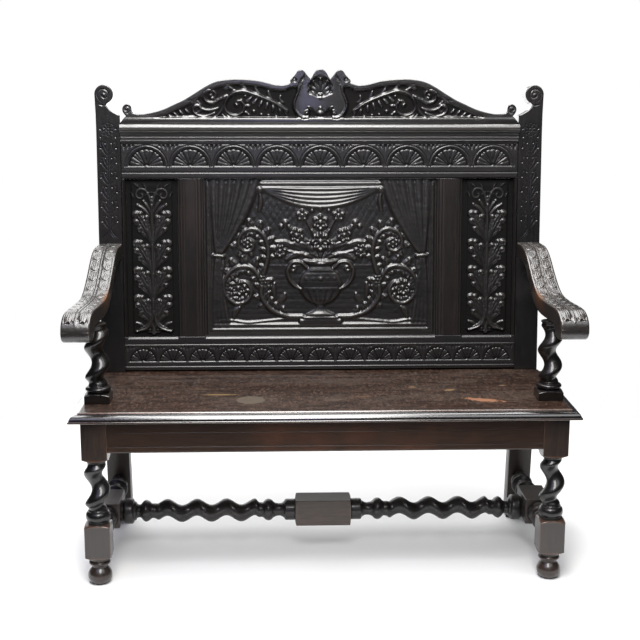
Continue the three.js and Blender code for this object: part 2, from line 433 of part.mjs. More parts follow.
function cornice() {
  const x = POST_IN - GAP, h = CORNICE_H0, v = BOARD_FRONT - GAP;
  return alongX([
    [v, h], [v - 3, h], [v - 5, h + 1.5], [v - 3, h + 4], [v - 3, h + 7.5], [v - 6, h + 9.5], [v - 6.8, h + 11], [v - 6, h + 12.5],
    [v - 4, h + 14], [v - 6.5, h + 19], [v - 11, h + 23], [v - 17, h + 25.2], [v - 17, h + 27.5], [v - 20, h + 27.5], [v - 23.5, h + 29],
    [v - 26.3, h + 32.5], [v - 27.3, h + 37], [v - 26.3, h + 41], [v - 23, h + 44.8], [v - 18, h + 47], [v - 12, h + 47.7], [v, h + 47.7],
  ], -x, x, back);
}
// half outline of the crest, outer end to the middle: [x, height above the cornice]
const CREST = [
  [-560.4, 0], [-560.4, 4], [-551, 15.5], [-544, 22.5], [-549.5, 29], [-553.5, 36.5], [-553.7, 45], [-549.6, 52.2], [-542.5, 56.2],
  [-534.6, 55.2], [-529.6, 49.6], [-528.4, 41.5], [-526, 34], [-520, 30.4], [-506, 28.8], [-493, 28.9], [-480, 30.6], [-464, 34.2],
  [-447, 39], [-431, 45], [-415, 52.6], [-397, 61], [-379.5, 69.4], [-350, 87.5], [-334, 98], [-318, 107.5], [-305, 114.5],
  [-292, 119.8], [-278, 123.4], [-263, 125.6], [-246, 127.2], [-230, 127.6], [-200, 126], [-172, 122.8], [-152, 118.2],
  [-133, 113], [-118, 111], [-104, 110.6], [-92, 113], [-84, 116.2], [-84.5, 123.5], [-77, 132], [-70, 140], [-64.5, 148.5],
  [-58.5, 152.6], [-52, 153.2], [-46, 149], [-41, 143.4], [-34, 134], [-27.6, 127.8], [-23, 133.4], [-19.5, 140.5], [-15.8, 146],
  [-11.5, 151], [-6.8, 154], [0, 155.3],
];
function crestRail() {
  const k = (CREST_TOP - CREST_BASE) / 155.3;
  const l = CREST.map(([x, h]) => [x, CREST_BASE + h * k]);
  const r = l.slice(0, -1).map(([x, h]) => [-x, h]).reverse();
  let c = alongY([...l, ...r], BOARD_FRONT, BOARD_BACK, back);
  // sunk field either side of the cartouche, with the rim and the base strip left standing
  const field = [[-466, 17], ...CREST.filter(([x]) => x > -460 && x < -110).map(([x, h]) => [x + (x < -300 ? 6 : x < -240 ? 2 : -2), h - 15]), [-104, 94], [-99, 60], [-92, 17]]
    .filter(([, h]) => h > 16.9).map(([x, h]) => [x, CREST_BASE + h]);
  const sunk = alongY(field, BOARD_FRONT - 3, BOARD_FRONT + 5, back);
  c = c.subtract(sunk).subtract(mirror(sunk));
  const ribs = [];
  const C0 = CREST_BASE + 17;
  for (const q of both([arc(-238, C0 + 30, 24, 20, 330, 7), arc(-335, C0 + 22, 18, 200, -110, 6),
    bez([-214, C0 + 46], [-160, C0 + 74], [-116, C0 + 12], 4), bez([-262, C0 + 48], [-290, C0 + 26], [-315, C0 + 18], 4),
    bez([-354, C0 + 16], [-400, C0 + 2], [-438, C0 + 6], 4), bez([-182, C0 + 58], [-165, C0 + 36], [-178, C0 + 12], 2)])) ribs.push(rib(q, 5, 3, BOARD_FRONT + 6, BOARD_FRONT + 0.5));
  for (const s of [-1, 1]) { ribs.push(disc(s * 238, C0 + 30, 10, 6, BOARD_FRONT + 6, BOARD_FRONT)); ribs.push(disc(s * 335, C0 + 22, 8, 6, BOARD_FRONT + 6, BOARD_FRONT)); }
  c = c.add(all(ribs));
  for (const s of [-1, 1]) c = c.add(box(s * 250 - 29.7, s * 250 + 29.7, 12, 22, CREST_BASE - 13, CREST_BASE + 4, back));
  return c;
}

// ---- assembly ---------------------------------------------------------------------
const WOOD = {
  dark: ['#2a211c', 0.42], frame: ['#241c18', 0.4], seat: ['#4a3227', 0.38], rail: ['#3a271f', 0.4], raw: ['#7a6248', 0.75],
};
const group = new THREE.Group();
group.name = 'settle_bench';
function put(name, s, wood) {
  const m = s.getMesh(), pos = new Float32Array(m.numVert * 3);
  for (let i = 0; i < m.numVert; i++) for (let k = 0; k < 3; k++) pos[i * 3 + k] = m.vertProperties[i * m.numProp + k];
  let g = new THREE.BufferGeometry();
  g.setAttribute('position', new THREE.BufferAttribute(pos, 3));
  g.setIndex(new THREE.BufferAttribute(new Uint32Array(m.triVerts), 1));
  g = g.toNonIndexed();
  g.computeVertexNormals();
  const [color, roughness] = WOOD[wood];
  const mesh = new THREE.Mesh(g, new THREE.MeshStandardMaterial({ color, roughness, metalness: 0 }));
  mesh.name = name;
  group.add(mesh);
}
function pair(name, s, wood) {
  put(name + '_left', mirror(s), wood);
  put(name + '_right', s, wood);
}

// the two legs and the two arm supports are turned alike, but sit at other phases
const mirrorJoints = (leg, joints) => {
  const shifted = leg.translate([-2 * LEG_X, 0, 0]);
  return mirror(joints(mirror(shifted)));
};
put('front_leg_left', mirrorJoints(frontLeg(212.5), legJoints), 'frame');
put('front_leg_right', legJoints(frontLeg(224.5)), 'frame');
pair('rear_post', rearPost(), 'frame');
put('seat_board', seatBoard(), 'seat');
put('front_apron', frontApron(), 'rail');
pair('side_apron', sideApron(), 'rail');
put('rear_seat_rail', rearRail(), 'rail');
pair('side_stretcher', sideStretcher(), 'frame');
put('medial_stretcher', medialStretcher(), 'frame');
pair('arm', arm(), 'frame');
put('arm_support_left', armSupport(533, Math.PI).translate([-2 * ARM_SUP_X, 0, 0]), 'frame');
put('arm_support_right', armSupport(602.5, 0), 'frame');
put('lower_lunette_rail', lowerRail(), 'dark');
put('upper_lunette_rail', upperRail(), 'dark');
pair('muntin', muntin(), 'rail');
pair('edge_stile', edgeStile(), 'dark');
pair('leaf_panel', leafPanel(), 'dark');
put('centre_panel', centrePanel(), 'dark');
put('cornice_moulding', cornice(), 'frame');
put('crest_rail', crestRail(), 'dark');
pair('glue_block_front', glueBlock(420, 500, RAIL_THICK + GAP, 1), 'raw');
pair('glue_block_rear', glueBlock(420, 500, 441 - GAP, -1), 'raw');

const bounds = new THREE.Box3().setFromObject(group);
const mid = bounds.getCenter(new THREE.Vector3());
for (const m of group.children) m.geometry.translate(-mid.x, -mid.y, -bounds.min.z);

export default group;
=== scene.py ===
import math

import bpy
import numpy as np
from mathutils import Matrix, Vector


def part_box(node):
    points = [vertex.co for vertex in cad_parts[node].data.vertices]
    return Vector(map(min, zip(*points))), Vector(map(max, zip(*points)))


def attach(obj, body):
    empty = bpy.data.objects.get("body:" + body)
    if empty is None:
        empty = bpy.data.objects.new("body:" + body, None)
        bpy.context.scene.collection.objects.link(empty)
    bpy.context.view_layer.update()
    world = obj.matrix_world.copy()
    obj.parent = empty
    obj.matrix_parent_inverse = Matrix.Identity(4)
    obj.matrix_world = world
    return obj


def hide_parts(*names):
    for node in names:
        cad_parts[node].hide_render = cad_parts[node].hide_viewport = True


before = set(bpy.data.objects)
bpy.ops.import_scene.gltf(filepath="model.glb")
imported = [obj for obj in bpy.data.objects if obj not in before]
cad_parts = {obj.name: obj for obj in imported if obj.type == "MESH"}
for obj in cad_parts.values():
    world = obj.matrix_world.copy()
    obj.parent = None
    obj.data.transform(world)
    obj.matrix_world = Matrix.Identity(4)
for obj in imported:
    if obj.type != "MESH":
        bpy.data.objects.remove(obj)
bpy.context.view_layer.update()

# Carved oak settle bench: the fine surface of every piece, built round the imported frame.
# Drawing frame: millimetres, X right, Y back with 0 at the front legs' front face, Z up.
# put() carries a drawing point into the shared frame in metres.

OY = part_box("seat_board")[0].y * 1000 + 22.0

SEAT_TOP, RAIL_TOP, RAIL_BOTTOM = 470.0, 446.0, 363.0
LEG_X, LEG_Y, LEG_HALF = 593.0, 33.0, 33.0
BACK_Y, RAKE, LEG_RAKE = 423.0, 0.0744, 0.1018
POST_IN, POST_OUT, POST_THICK = 561.0, 627.0, 48.0
C, S, T = math.cos(RAKE), math.sin(RAKE), math.tan(RAKE)
PI = math.pi


def put(P):
    P = np.asarray(P, float)
    return np.stack([P[..., 0], P[..., 1] + OY, P[..., 2]], -1) / 1000.0


def back(x, v, h):
    """Point of the raked back: v behind the posts' front face, h up the slope from the seat."""
    x, v, h = np.broadcast_arrays(np.asarray(x, float), np.asarray(v, float), np.asarray(h, float))
    return np.stack([x, BACK_Y + v * C + h * S, SEAT_TOP + h * C - v * S], -1)


def smooth(t):
    t = np.clip(t, 0.0, 1.0)
    return t * t * (3 - 2 * t)


# ---------------------------------------------------------------- meshes
def volume(V, F):
    """Signed volume of the closed surface, from fans of its faces."""
    total = 0.0
    for f in F:
        f = np.asarray(f)
        if f.ndim == 1:
            a = V[f[0]]
            b, c = V[f[1:-1]], V[f[2:]]
            total += np.einsum("ij,ij->", np.cross(b, c), np.broadcast_to(a, b.shape))
        else:
            a = V[f[:, 0]]
            for k in range(1, f.shape[1] - 1):
                total += np.einsum("ij,ij->", a, np.cross(V[f[:, k]], V[f[:, k + 1]]))
    return total / 6


def build(name, V, faces, mat, nodes=(), slot=None, wear=None, tone=None, sharp=38, bevel=0.0):
    """V in drawing millimetres; faces is a list of (n, k) index arrays and single polygons."""
    W = put(V)
    faces = [np.asarray(f, np.int64) for f in faces]
    if volume(W, faces) < 0:
        faces = [f[::-1] if f.ndim == 1 else f[:, ::-1] for f in faces]
    flat, sizes = [], []
    for f in faces:
        if f.ndim == 1:
            flat.append(f)
            sizes.append([len(f)])
        else:
            flat.append(f.reshape(-1))
            sizes.append([f.shape[1]] * len(f))
    flat = np.concatenate(flat).astype(np.int32)
    sizes = np.concatenate([np.asarray(s, np.int32) for s in sizes])
    starts = np.concatenate([[0], np.cumsum(sizes)[:-1]]).astype(np.int32)
    me = bpy.data.meshes.new(name)
    me.vertices.add(len(W))
    me.vertices.foreach_set("co", W.astype(np.float32).ravel())
    me.loops.add(len(flat))
    me.loops.foreach_set("vertex_index", flat)
    me.polygons.add(len(sizes))
    me.polygons.foreach_set("loop_start", starts)
    me.polygons.foreach_set("use_smooth", sizes < 5)
    me.update(calc_edges=True)
    me.validate()
    for key, val in (("wear", wear), ("tone", tone)):
        if val is not None:
            a = me.attributes.new(key, "FLOAT", "POINT")
            a.data.foreach_set("value", np.ascontiguousarray(val, np.float32))
    me.set_sharp_from_angle(angle=math.radians(sharp))
    o = bpy.data.objects.new(name, me)
    bpy.context.scene.collection.objects.link(o)
    me.materials.append(mat)
    if bevel:
        b = o.modifiers.new("edge", "BEVEL")
        b.width, b.segments, b.limit_method, b.angle_limit = bevel / 1000, 3, "ANGLE", math.radians(40)
        b.harden_normals = False
    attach(o, "root")
    if nodes:
        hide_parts(*nodes)
    return o


def rings_faces(m, n, closed=True):
    i = np.arange(m - 1)[:, None]
    j = np.arange(n if closed else n - 1)[None, :]
    a = i * n + j
    b = i * n + (j + 1) % n
    return np.stack([a, b, b + n, a + n], -1).reshape(-1, 4)


def loft(name, R, mat, caps=True, **kw):
    """R (m, n, 3): rings joined side by side, closed by a flat cap at each end."""
    R = np.asarray(R, float)
    m, n = R.shape[:2]
    faces = [rings_faces(m, n)]
    if caps:
        faces += [np.arange(n)[::-1], (m - 1) * n + np.arange(n)]
    for key in ("wear", "tone"):
        if kw.get(key) is not None:
            kw[key] = np.asarray(kw[key]).reshape(-1)
    return build(name, R.reshape(-1, 3), faces, mat, **kw)


def catmull(P, per=8, closed=False):
    P = np.asarray(P, float)
    n = len(P)
    out = []
    last = n if closed else n - 1
    for i in range(last):
        p1, p2 = P[i], P[(i + 1) % n]
        p0 = P[(i - 1) % n] if closed or i else 2 * p1 - p2
        p3 = P[(i + 2) % n] if closed or i + 2 < n else 2 * p2 - p1
        t = (np.arange(per) / per)[:, None]
        out.append(0.5 * (2 * p1 + (p2 - p0) * t + (2 * p0 - 5 * p1 + 4 * p2 - p3) * t ** 2 + (3 * p1 - p0 - 3 * p2 + p3) * t ** 3))
    out = np.concatenate(out)
    return out if closed else np.concatenate([out, P[-1:]])


def resample(P, step, closed=False):
    P = np.asarray(P, float)
    if closed:
        P = np.concatenate([P, P[:1]])
    d = np.concatenate([[0], np.cumsum(np.hypot(*np.diff(P, axis=0).T))])
    n = max(2, int(round(d[-1] / step)))
    s = np.linspace(0, d[-1], n + 1)
    Q = np.stack([np.interp(s, d, P[:, k]) for k in range(P.shape[1])], -1)
    return Q[:-1] if closed else Q


def bez(*P, n=20):
    P = [np.asarray(p, float) for p in P]
    t = np.linspace(0, 1, n + 1)[:, None]
    L = [np.broadcast_to(p, (n + 1, 2)) for p in P]
    while len(L) > 1:
        L = [a * (1 - t) + b * t for a, b in zip(L, L[1:])]
    return L[0]


def spiral(cx, cy, r0, r1, a0, turns, n=60, power=0.75):
    t = np.linspace(0, 1, n + 1)
    a = np.radians(a0) + 2 * PI * turns * t
    r = r0 + (r1 - r0) * t ** power
    return np.stack([cx + r * np.cos(a), cy + r * np.sin(a)], -1)


def blur(Z, k):
    """Three passes of a box blur k cells wide either side, edges held."""
    if k < 1:
        return Z
    for _ in range(3):
        for ax in (0, 1):
            P = np.concatenate([np.repeat(Z.take([0], ax), k + 1, ax), Z, np.repeat(Z.take([-1], ax), k, ax)], ax)
            cs = np.cumsum(P, ax)
            n = Z.shape[ax]
            Z = (cs.take(range(2 * k + 1, 2 * k + 1 + n), ax) - cs.take(range(0, n), ax)) / (2 * k + 1)
    return Z


# ---------------------------------------------------------------- relief carving
def p_round(u):
    return np.sqrt(np.clip(1 - u * u, 0, 1))


def p_soft(u):
    return np.clip(1 - u * u, 0, 1) ** 0.75


def p_flat(u):
    return smooth((1 - u) / 0.3)


def p_vein(u):
    return np.clip(1 - u ** 2.6, 0, 1) ** 0.8 * (1 - 0.42 * np.exp(-(u / 0.2) ** 2))


def p_hollow(u):
    return (0.42 + 0.58 * np.clip(u / 0.74, 0, 1) ** 2) * smooth((1 - u) / 0.24)


def p_ridge(u):
    return np.clip(1 - u, 0, 1) ** 0.85


class Field:
    """Height Z over a plane grid (X, Y), carved stroke by stroke."""

    def __init__(s, x0, x1, y0, y1, step, z=0.0):
        nx, ny = int(math.ceil((x1 - x0) / step)), int(math.ceil((y1 - y0) / step))
        s.x, s.y = np.linspace(x0, x1, nx + 1), np.linspace(y0, y1, ny + 1)
        s.X, s.Y = np.meshgrid(s.x, s.y)
        s.Z = np.full_like(s.X, float(z))
        s.step = step

    def win(s, x0, x1, y0, y1):
        return (slice(max(0, np.searchsorted(s.y, y0) - 1), np.searchsorted(s.y, y1) + 1),
                slice(max(0, np.searchsorted(s.x, x0) - 1), np.searchsorted(s.x, x1) + 1))

    def near(s, P, reach):
        P = np.asarray(P, float)
        lo, hi = P.min(0) - reach, P.max(0) + reach
        sl = s.win(lo[0], hi[0], lo[1], hi[1])
        X, Y = s.X[sl], s.Y[sl]
        if X.size == 0:
            return None
        seg = np.hypot(*np.diff(P, axis=0).T)
        L = np.concatenate([[0], np.cumsum(seg)])
        D2, TT, SD = np.full(X.shape, 1e18), np.zeros(X.shape), np.zeros(X.shape)
        for k in range(len(P) - 1):
            ax, ay = P[k]
            dx, dy = P[k + 1] - P[k]
            q = dx * dx + dy * dy
            if q < 1e-12:
                continue
            t = np.clip(((X - ax) * dx + (Y - ay) * dy) / q, 0, 1)
            ex, ey = X - ax - t * dx, Y - ay - t * dy
            d2 = ex * ex + ey * ey
            m = d2 < D2
            D2 = np.where(m, d2, D2)
            TT = np.where(m, (L[k] + t * seg[k]) / L[-1], TT)
            SD = np.where(m, np.sign(dx * ey - dy * ex), SD)
        return sl, np.sqrt(D2), TT, SD

    def stroke(s, P, w, z, prof=p_soft, base=0.0, mode="max", trim=0.0, gap=1.6):
        """A rib along P. w and z are numbers, pairs (start, end) or functions of 0..1 along it.
        trim lowers what lies just outside the rib, so that it reads as lying on top."""
        def f(q, t):
            if callable(q):
                return q(t)
            if isinstance(q, (tuple, list)):
                return np.interp(t, np.linspace(0, 1, len(q)), q)
            return np.full_like(t, float(q))
        tt = np.linspace(0, 1, 21)
        reach = float(np.max(f(w, tt))) + gap + 0.5
        got = s.near(P, reach)
        if got is None:
            return
        sl, D, t, side = got
        W = np.maximum(f(w, t), 1e-3)
        u = D / W
        body = base + f(z, t) * prof(np.clip(u, 0, 1))
        inside = u < 1
        Z = s.Z[sl]
        if trim:
            k = smooth((D - W) / gap)
            Z = np.where(inside, Z, np.minimum(Z, base + (Z - base) * (1 - trim * (1 - k))))
        if mode == "max":
            Z = np.where(inside, np.maximum(Z, body), Z)
        elif mode == "set":
            Z = np.where(inside, body, Z)
        elif mode == "cut":
            Z = np.where(inside, Z - f(z, t) * prof(np.clip(u, 0, 1)), Z)
        elif mode == "add":
            Z = np.where(inside, Z + f(z, t) * prof(np.clip(u, 0, 1)), Z)
        s.Z[sl] = Z

    def knob(s, cx, cy, r, z, base=0.0, trim=0.0, power=0.6, sx=1.0, mode="max"):
        sl = s.win(cx - r * sx - 2, cx + r * sx + 2, cy - r - 2, cy + r + 2)
        X, Y = s.X[sl], s.Y[sl]
        u = np.hypot((X - cx) / sx, Y - cy) / r
        Z = s.Z[sl]
        if trim:
            k = smooth((u - 1) * r / 1.6)
            Z = np.where(u < 1, Z, np.minimum(Z, base + (Z - base) * (1 - trim * (1 - k))))
        b = np.clip(1 - u * u, 0, 1) ** power
        if mode == "max":
            s.Z[sl] = np.where(u < 1, np.maximum(Z, base + z * b), Z)
        else:
            s.Z[sl] = np.where(u < 1, Z - z * b, Z)

    def polar(s, cx, cy, R, fn):
        """fn(r, a, Z) gives the new height inside radius R."""
        sl = s.win(cx - R, cx + R, cy - R, cy + R)
        X, Y = s.X[sl] - cx, s.Y[sl] - cy
        r = np.hypot(X, Y)
        Z = s.Z[sl]
        s.Z[sl] = np.where(r <= R, fn(r, np.arctan2(Y, X), Z), Z)

    def leaf(s, a, b, bend=0.0, w=5.0, z=(2.0, 5.0), base=0.0, tip=0.0, prof=p_vein, trim=0.5, blunt=0.35, belly=0.62):
        """A lobe from a to b, bowed sideways by bend, fullest at belly, with a knob of radius tip at its end."""
        a, b = np.asarray(a, float), np.asarray(b, float)
        d = b - a
        n = np.array([-d[1], d[0]]) / max(1e-9, math.hypot(*d))
        P = bez(a, (a + b) / 2 + n * bend * 2, b, n=14)
        def width(t):
            k = np.where(t < belly, t / belly, 1 - (1 - blunt) * (np.maximum(t - belly, 0) / (1 - belly)) ** 1.6)
            return w * np.clip(np.where(t < belly, 0.18 + 0.82 * np.sin(k * PI / 2), k), 0.1, 1)
        s.stroke(P, width, z, prof, base, trim=trim)
        if tip:
            s.knob(b[0], b[1], tip, (z[1] if isinstance(z, tuple) else z) * 1.08, base, trim=trim * 0.6)

    def rosette(s, cx, cy, r, n, z, base=0.0, turn=0.0, eye=0.26):
        s.stroke([[cx - 0.01, cy], [cx + 0.01, cy]], r * 0.98, z * 0.2, p_flat, base, trim=0.8, gap=2.2)
        def fn(q, a, Z):
            k = np.abs(np.cos((a - turn) * n / 2))
            R = r * (0.74 + 0.26 * k ** 0.7)
            u = q / R
            petal = np.clip(1 - u ** 4, 0, 1) ** 0.7 * (0.45 + 0.55 * k ** 0.6) * (0.5 + 0.5 * np.sin(np.clip(u, 0, 1) * PI * 0.85))
            h = base + z * petal
            h = np.where(q < r * eye, base + z * (0.55 + 0.5 * np.clip(1 - (q / (r * eye)) ** 2, 0, 1) ** 0.5), h)
            h = np.where(np.abs(q - r * eye) < 0.9, base + z * 0.3, h)
            return np.where(u < 1, np.maximum(Z * 0 + base, h), Z)
        s.polar(cx, cy, r, fn)


def poly_distance(X, Y, P):
    """Distance to the closed outline P (positive inside) and its nearest point."""
    D2, NX, NY = np.full(X.shape, 1e18), np.zeros(X.shape), np.zeros(X.shape)
    inside = np.zeros(X.shape, bool)
    n = len(P)
    for k in range(n):
        ax, ay = P[k]
        bx, by = P[(k + 1) % n]
        dx, dy = bx - ax, by - ay
        q = dx * dx + dy * dy
        if q > 1e-12:
            t = np.clip(((X - ax) * dx + (Y - ay) * dy) / q, 0, 1)
            qx, qy = ax + t * dx, ay + t * dy
            d2 = (X - qx) ** 2 + (Y - qy) ** 2
            m = d2 < D2
            D2 = np.where(m, d2, D2)
            NX, NY = np.where(m, qx, NX), np.where(m, qy, NY)
        if ay != by:
            hit = ((ay > Y) != (by > Y)) & (X < (bx - ax) * (Y - ay) / (by - ay) + ax)
            inside ^= hit
    D = np.sqrt(D2)
    return np.where(inside, D, -D), NX, NY


# Signed relief: positive on ridges and edges, which take worn colour; negative in hollows, which are darkened as grime
# and painted shade.
def wear_and_shade_of(Z, step):
    a = blur(Z, max(1, int(round(2.2 / step))))
    b = blur(Z, max(1, int(round(5.0 / step))))
    return np.clip((Z - a) / 0.9, -1, 1) * 0.7 + np.clip((Z - b) / 2.5, -1, 1) * 0.5


def carved(name, F, place, depth, mat, outline=None, round_r=1.2, rear_round=1.0, soften=1, tone=None, ground=None, **kw):
    """Closed board whose front carries the relief F. place(x, y, d) maps a plane point that lies d behind
    the face (negative in front); depth is the board's thickness. ground is the height under which the
    recesses take a darker, dull finish: unpolished wood that no cloth reaches in part, painted shade in part."""
    Z = F.Z.copy()
    X, Y = F.X.copy(), F.Y.copy()
    ny, nx = X.shape
    if outline is None:
        sd = np.minimum(np.minimum(X - F.x[0], F.x[-1] - X), np.minimum(Y - F.y[0], F.y[-1] - Y))
        cells = np.ones((ny - 1, nx - 1), bool)
    else:
        sd, NX, NY = poly_distance(X, Y, np.asarray(outline, float))
        mean = (sd[:-1, :-1] + sd[1:, :-1] + sd[:-1, 1:] + sd[1:, 1:]) / 4
        cells = mean > 0
        # a cell that meets the others only by a corner is left out
        for _ in range(3):
            P = np.pad(cells, 1)
            sides = P[:-2, 1:-1].astype(int) + P[2:, 1:-1] + P[1:-1, :-2] + P[1:-1, 2:]
            cells = cells & (sides > 1)
    if soften:
        K = np.pad(Z, 1, mode="edge")
        Zs = (K[1:-1, 1:-1] * 4 + 2 * (K[:-2, 1:-1] + K[2:, 1:-1] + K[1:-1, :-2] + K[1:-1, 2:]) + K[:-2, :-2] + K[2:, 2:] + K[:-2, 2:] + K[2:, :-2]) / 16
        Z = Zs if soften == 1 else Z * (1 - soften) + Zs * soften
    wear = wear_and_shade_of(Z, F.step)
    low = (F.Z[:-1, :-1] < 1e8) & (F.Y[:-1, :-1] < getattr(F, "clear", 1e9)) & ((Z[:-1, :-1] + Z[1:, :-1] + Z[:-1, 1:] + Z[1:, 1:]) / 4 < (-1e9 if ground is None else ground))
    if round_r:
        q = np.clip(round_r - np.maximum(sd, 0), 0, round_r)
        Z = Z - (round_r - np.sqrt(np.maximum(round_r ** 2 - q ** 2, 0)))
    wear = np.maximum(wear, smooth((2.2 - sd) / 2.2) * 0.8)
    idx = np.arange(ny * nx).reshape(ny, nx)
    quads = np.stack([idx[:-1, :-1], idx[:-1, 1:], idx[1:, 1:], idx[1:, :-1]], -1)[cells]
    E = np.concatenate([quads[:, [k, (k + 1) % 4]] for k in range(4)])
    key = E[:, 0] * (ny * nx) + E[:, 1]
    rev = E[:, 1] * (ny * nx) + E[:, 0]
    edge = E[~np.isin(key, rev)]
    rim = np.unique(edge)
    if outline is not None:
        fx, fy = X.reshape(-1), Y.reshape(-1)
        fx[rim], fy[rim] = NX.reshape(-1)[rim], NY.reshape(-1)[rim]
        X, Y = fx.reshape(ny, nx), fy.reshape(ny, nx)
        zz = Z.reshape(-1)
        zz[rim] = np.minimum(zz[rim], -round_r * 0.8)
    used = np.unique(quads)
    remap = np.full(ny * nx, -1, np.int64)
    remap[used] = np.arange(len(used))
    fx, fy, fz = X.reshape(-1)[used], Y.reshape(-1)[used], Z.reshape(-1)[used]
    V = [place(fx, fy, -fz)]
    W = [wear.reshape(-1)[used]]
    TN = [np.zeros(len(used)) if tone is None else tone.reshape(-1)[used]]
    q = remap[quads]
    edge = remap[edge]
    # order the rim into loops
    nxt = dict(zip(edge[:, 0].tolist(), edge[:, 1].tolist()))
    loops, left = [], set(nxt)
    while left:
        a = min(left)
        loop = []
        while a in left:
            left.discard(a)
            loop.append(a)
            a = nxt[a]
        if len(loop) > 3:
            loops.append(np.array(loop))
    faces = [q]
    base = len(used)
    for loop in loops:
        lx, ly, lz = fx[loop], fy[loop], fz[loop]
        n = len(loop)
        # inward normals of the rim, for the rounded rear arris
        tx = np.roll(lx, -1) - np.roll(lx, 1)
        ty = np.roll(ly, -1) - np.roll(ly, 1)
        tl = np.maximum(np.hypot(tx, ty), 1e-9)
        nx_, ny_ = -ty / tl, tx / tl
        levels = [(0.0, np.full(n, 4.0) + np.maximum(-lz, 0)), (0.0, np.full(n, depth - 4.0)), (0.0, np.full(n, depth - rear_round)), (rear_round * 0.3, np.full(n, depth - rear_round * 0.3)), (rear_round, np.full(n, depth))]
        prev = loop
        for k, (inset, d) in enumerate(levels):
            V.append(place(lx + nx_ * inset, ly + ny_ * inset, d))
            W.append(np.full(n, [0.0, 0.0, 0.5, 0.8, 0.1][k]))
            TN.append(np.zeros(n))
            cur = base + np.arange(n)
            base += n
            faces.append(np.stack([np.roll(prev, -1), prev, cur, np.roll(cur, -1)], -1))
            prev = cur
        faces.append(prev[::-1])
    V = np.concatenate(V)
    kw.setdefault("sharp", 62)
    o = build(name, V, faces, mat, wear=np.concatenate(W), tone=np.concatenate(TN), **kw)
    # Recesses below the ground height take the dark, dull GROUND finish: unpolished wood in part, painted shade in
    # part.
    if ground is not None:
        second(o, GROUND, low[cells])
    # the hidden side keeps a plain, unpolished surface
    me = o.data
    me.materials.append(BACK_Z if mat in (CARVED_Z, PANEL_Z) else BACK_X)
    k, count = np.zeros(len(me.polygons), np.int32), np.zeros(len(me.polygons), np.int32)
    me.polygons.foreach_get("material_index", k)
    me.polygons.foreach_get("loop_total", count)
    k[count > 4] = len(me.materials) - 1
    me.polygons.foreach_set("material_index", k)
    return o


def second(o, mat, mask):
    """Gives the first faces of a piece, where the mask says so, a second finish."""
    o.data.materials.append(mat)
    k = np.zeros(len(o.data.polygons), np.int32)
    k[:len(mask)] = mask
    o.data.polygons.foreach_set("material_index", k)


# ---------------------------------------------------------------- materials
class Graph:
    def __init__(s, name):
        s.mat = bpy.data.materials.new(name)
        s.mat.use_nodes = True
        s.nt = s.mat.node_tree
        s.nt.nodes.clear()
        s.col = 0

    def node(s, kind, **props):
        n = s.nt.nodes.new("ShaderNode" + kind)
        for k, v in props.items():
            setattr(n, k, v)
        s.col += 1
        n.location = (s.col % 12 * 180, -(s.col // 12) * 220)
        return n

    def feed(s, sock, v):
        if isinstance(v, bpy.types.NodeSocket):
            s.nt.links.new(v, sock)
        elif v is not None:
            sock.default_value = v

    def math(s, op, a, b=None, c=None, clamp=False):
        n = s.node("Math", operation=op, use_clamp=clamp)
        for k, v in enumerate((a, b, c)):
            if v is not None:
                s.feed(n.inputs[k], v)
        return n.outputs[0]

    def mul(s, a, b):
        return s.math("MULTIPLY", a, b)

    def add(s, a, b):
        return s.math("ADD", a, b)

    def span(s, v, a, b, c=0.0, d=1.0, soft=True):
        n = s.node("MapRange", interpolation_type="SMOOTHSTEP" if soft else "LINEAR", clamp=True)
        for k, x in enumerate((v, a, b, c, d)):
            s.feed(n.inputs[k], x)
        return n.outputs[0]

    def mix(s, f, a, b, kind="MIX"):
        n = s.node("Mix", data_type="RGBA", blend_type=kind, clamp_factor=True)
        s.feed(n.inputs[0], f)
        for k, v in ((6, a), (7, b)):
            if not isinstance(v, bpy.types.NodeSocket):
                v = (*v, 1.0)
            s.feed(n.inputs[k], v)
        return n.outputs[2]

    def noise(s, vec, scale, detail=3.0, rough=0.55, dist=0.0):
        n = s.node("TexNoise", noise_dimensions="3D")
        s.feed(n.inputs["Vector"], vec)
        n.inputs["Scale"].default_value = scale
        n.inputs["Detail"].default_value = detail
        n.inputs["Roughness"].default_value = rough
        n.inputs["Distortion"].default_value = dist
        return n.outputs[0]

    def mapping(s, vec, scale=(1, 1, 1), loc=(0, 0, 0), rot=(0, 0, 0)):
        n = s.node("Mapping")
        s.feed(n.inputs["Vector"], vec)
        n.inputs["Location"].default_value = loc
        n.inputs["Rotation"].default_value = rot
        n.inputs["Scale"].default_value = scale
        return n.outputs[0]

    def attr(s, name):
        return s.node("Attribute", attribute_name=name, attribute_type="GEOMETRY").outputs["Fac"]

    def coords(s):
        return s.node("TexCoord").outputs["Object"]

    def finish(s, colour, rough, height, coat=0.2, coat_rough=0.2, spec=0.5, depth=0.0006, strength=1.0, coat_ior=1.5):
        b = s.node("BsdfPrincipled")
        s.feed(b.inputs["Base Color"], colour)
        s.feed(b.inputs["Roughness"], rough)
        b.inputs["Specular IOR Level"].default_value = spec
        b.inputs["Coat Weight"].default_value = coat
        b.inputs["Coat Roughness"].default_value = coat_rough
        b.inputs["Coat IOR"].default_value = coat_ior
        u = s.node("Bump")
        u.inputs["Strength"].default_value = strength
        u.inputs["Distance"].default_value = depth
        s.feed(u.inputs["Height"], height)
        s.nt.links.new(u.outputs[0], b.inputs["Normal"])
        out = s.node("OutputMaterial")
        s.nt.links.new(b.outputs[0], out.inputs["Surface"])
        return s.mat


STRETCH = {"x": (0.055, 1, 1), "y": (1, 0.055, 1), "z": (1, 1, 0.055)}


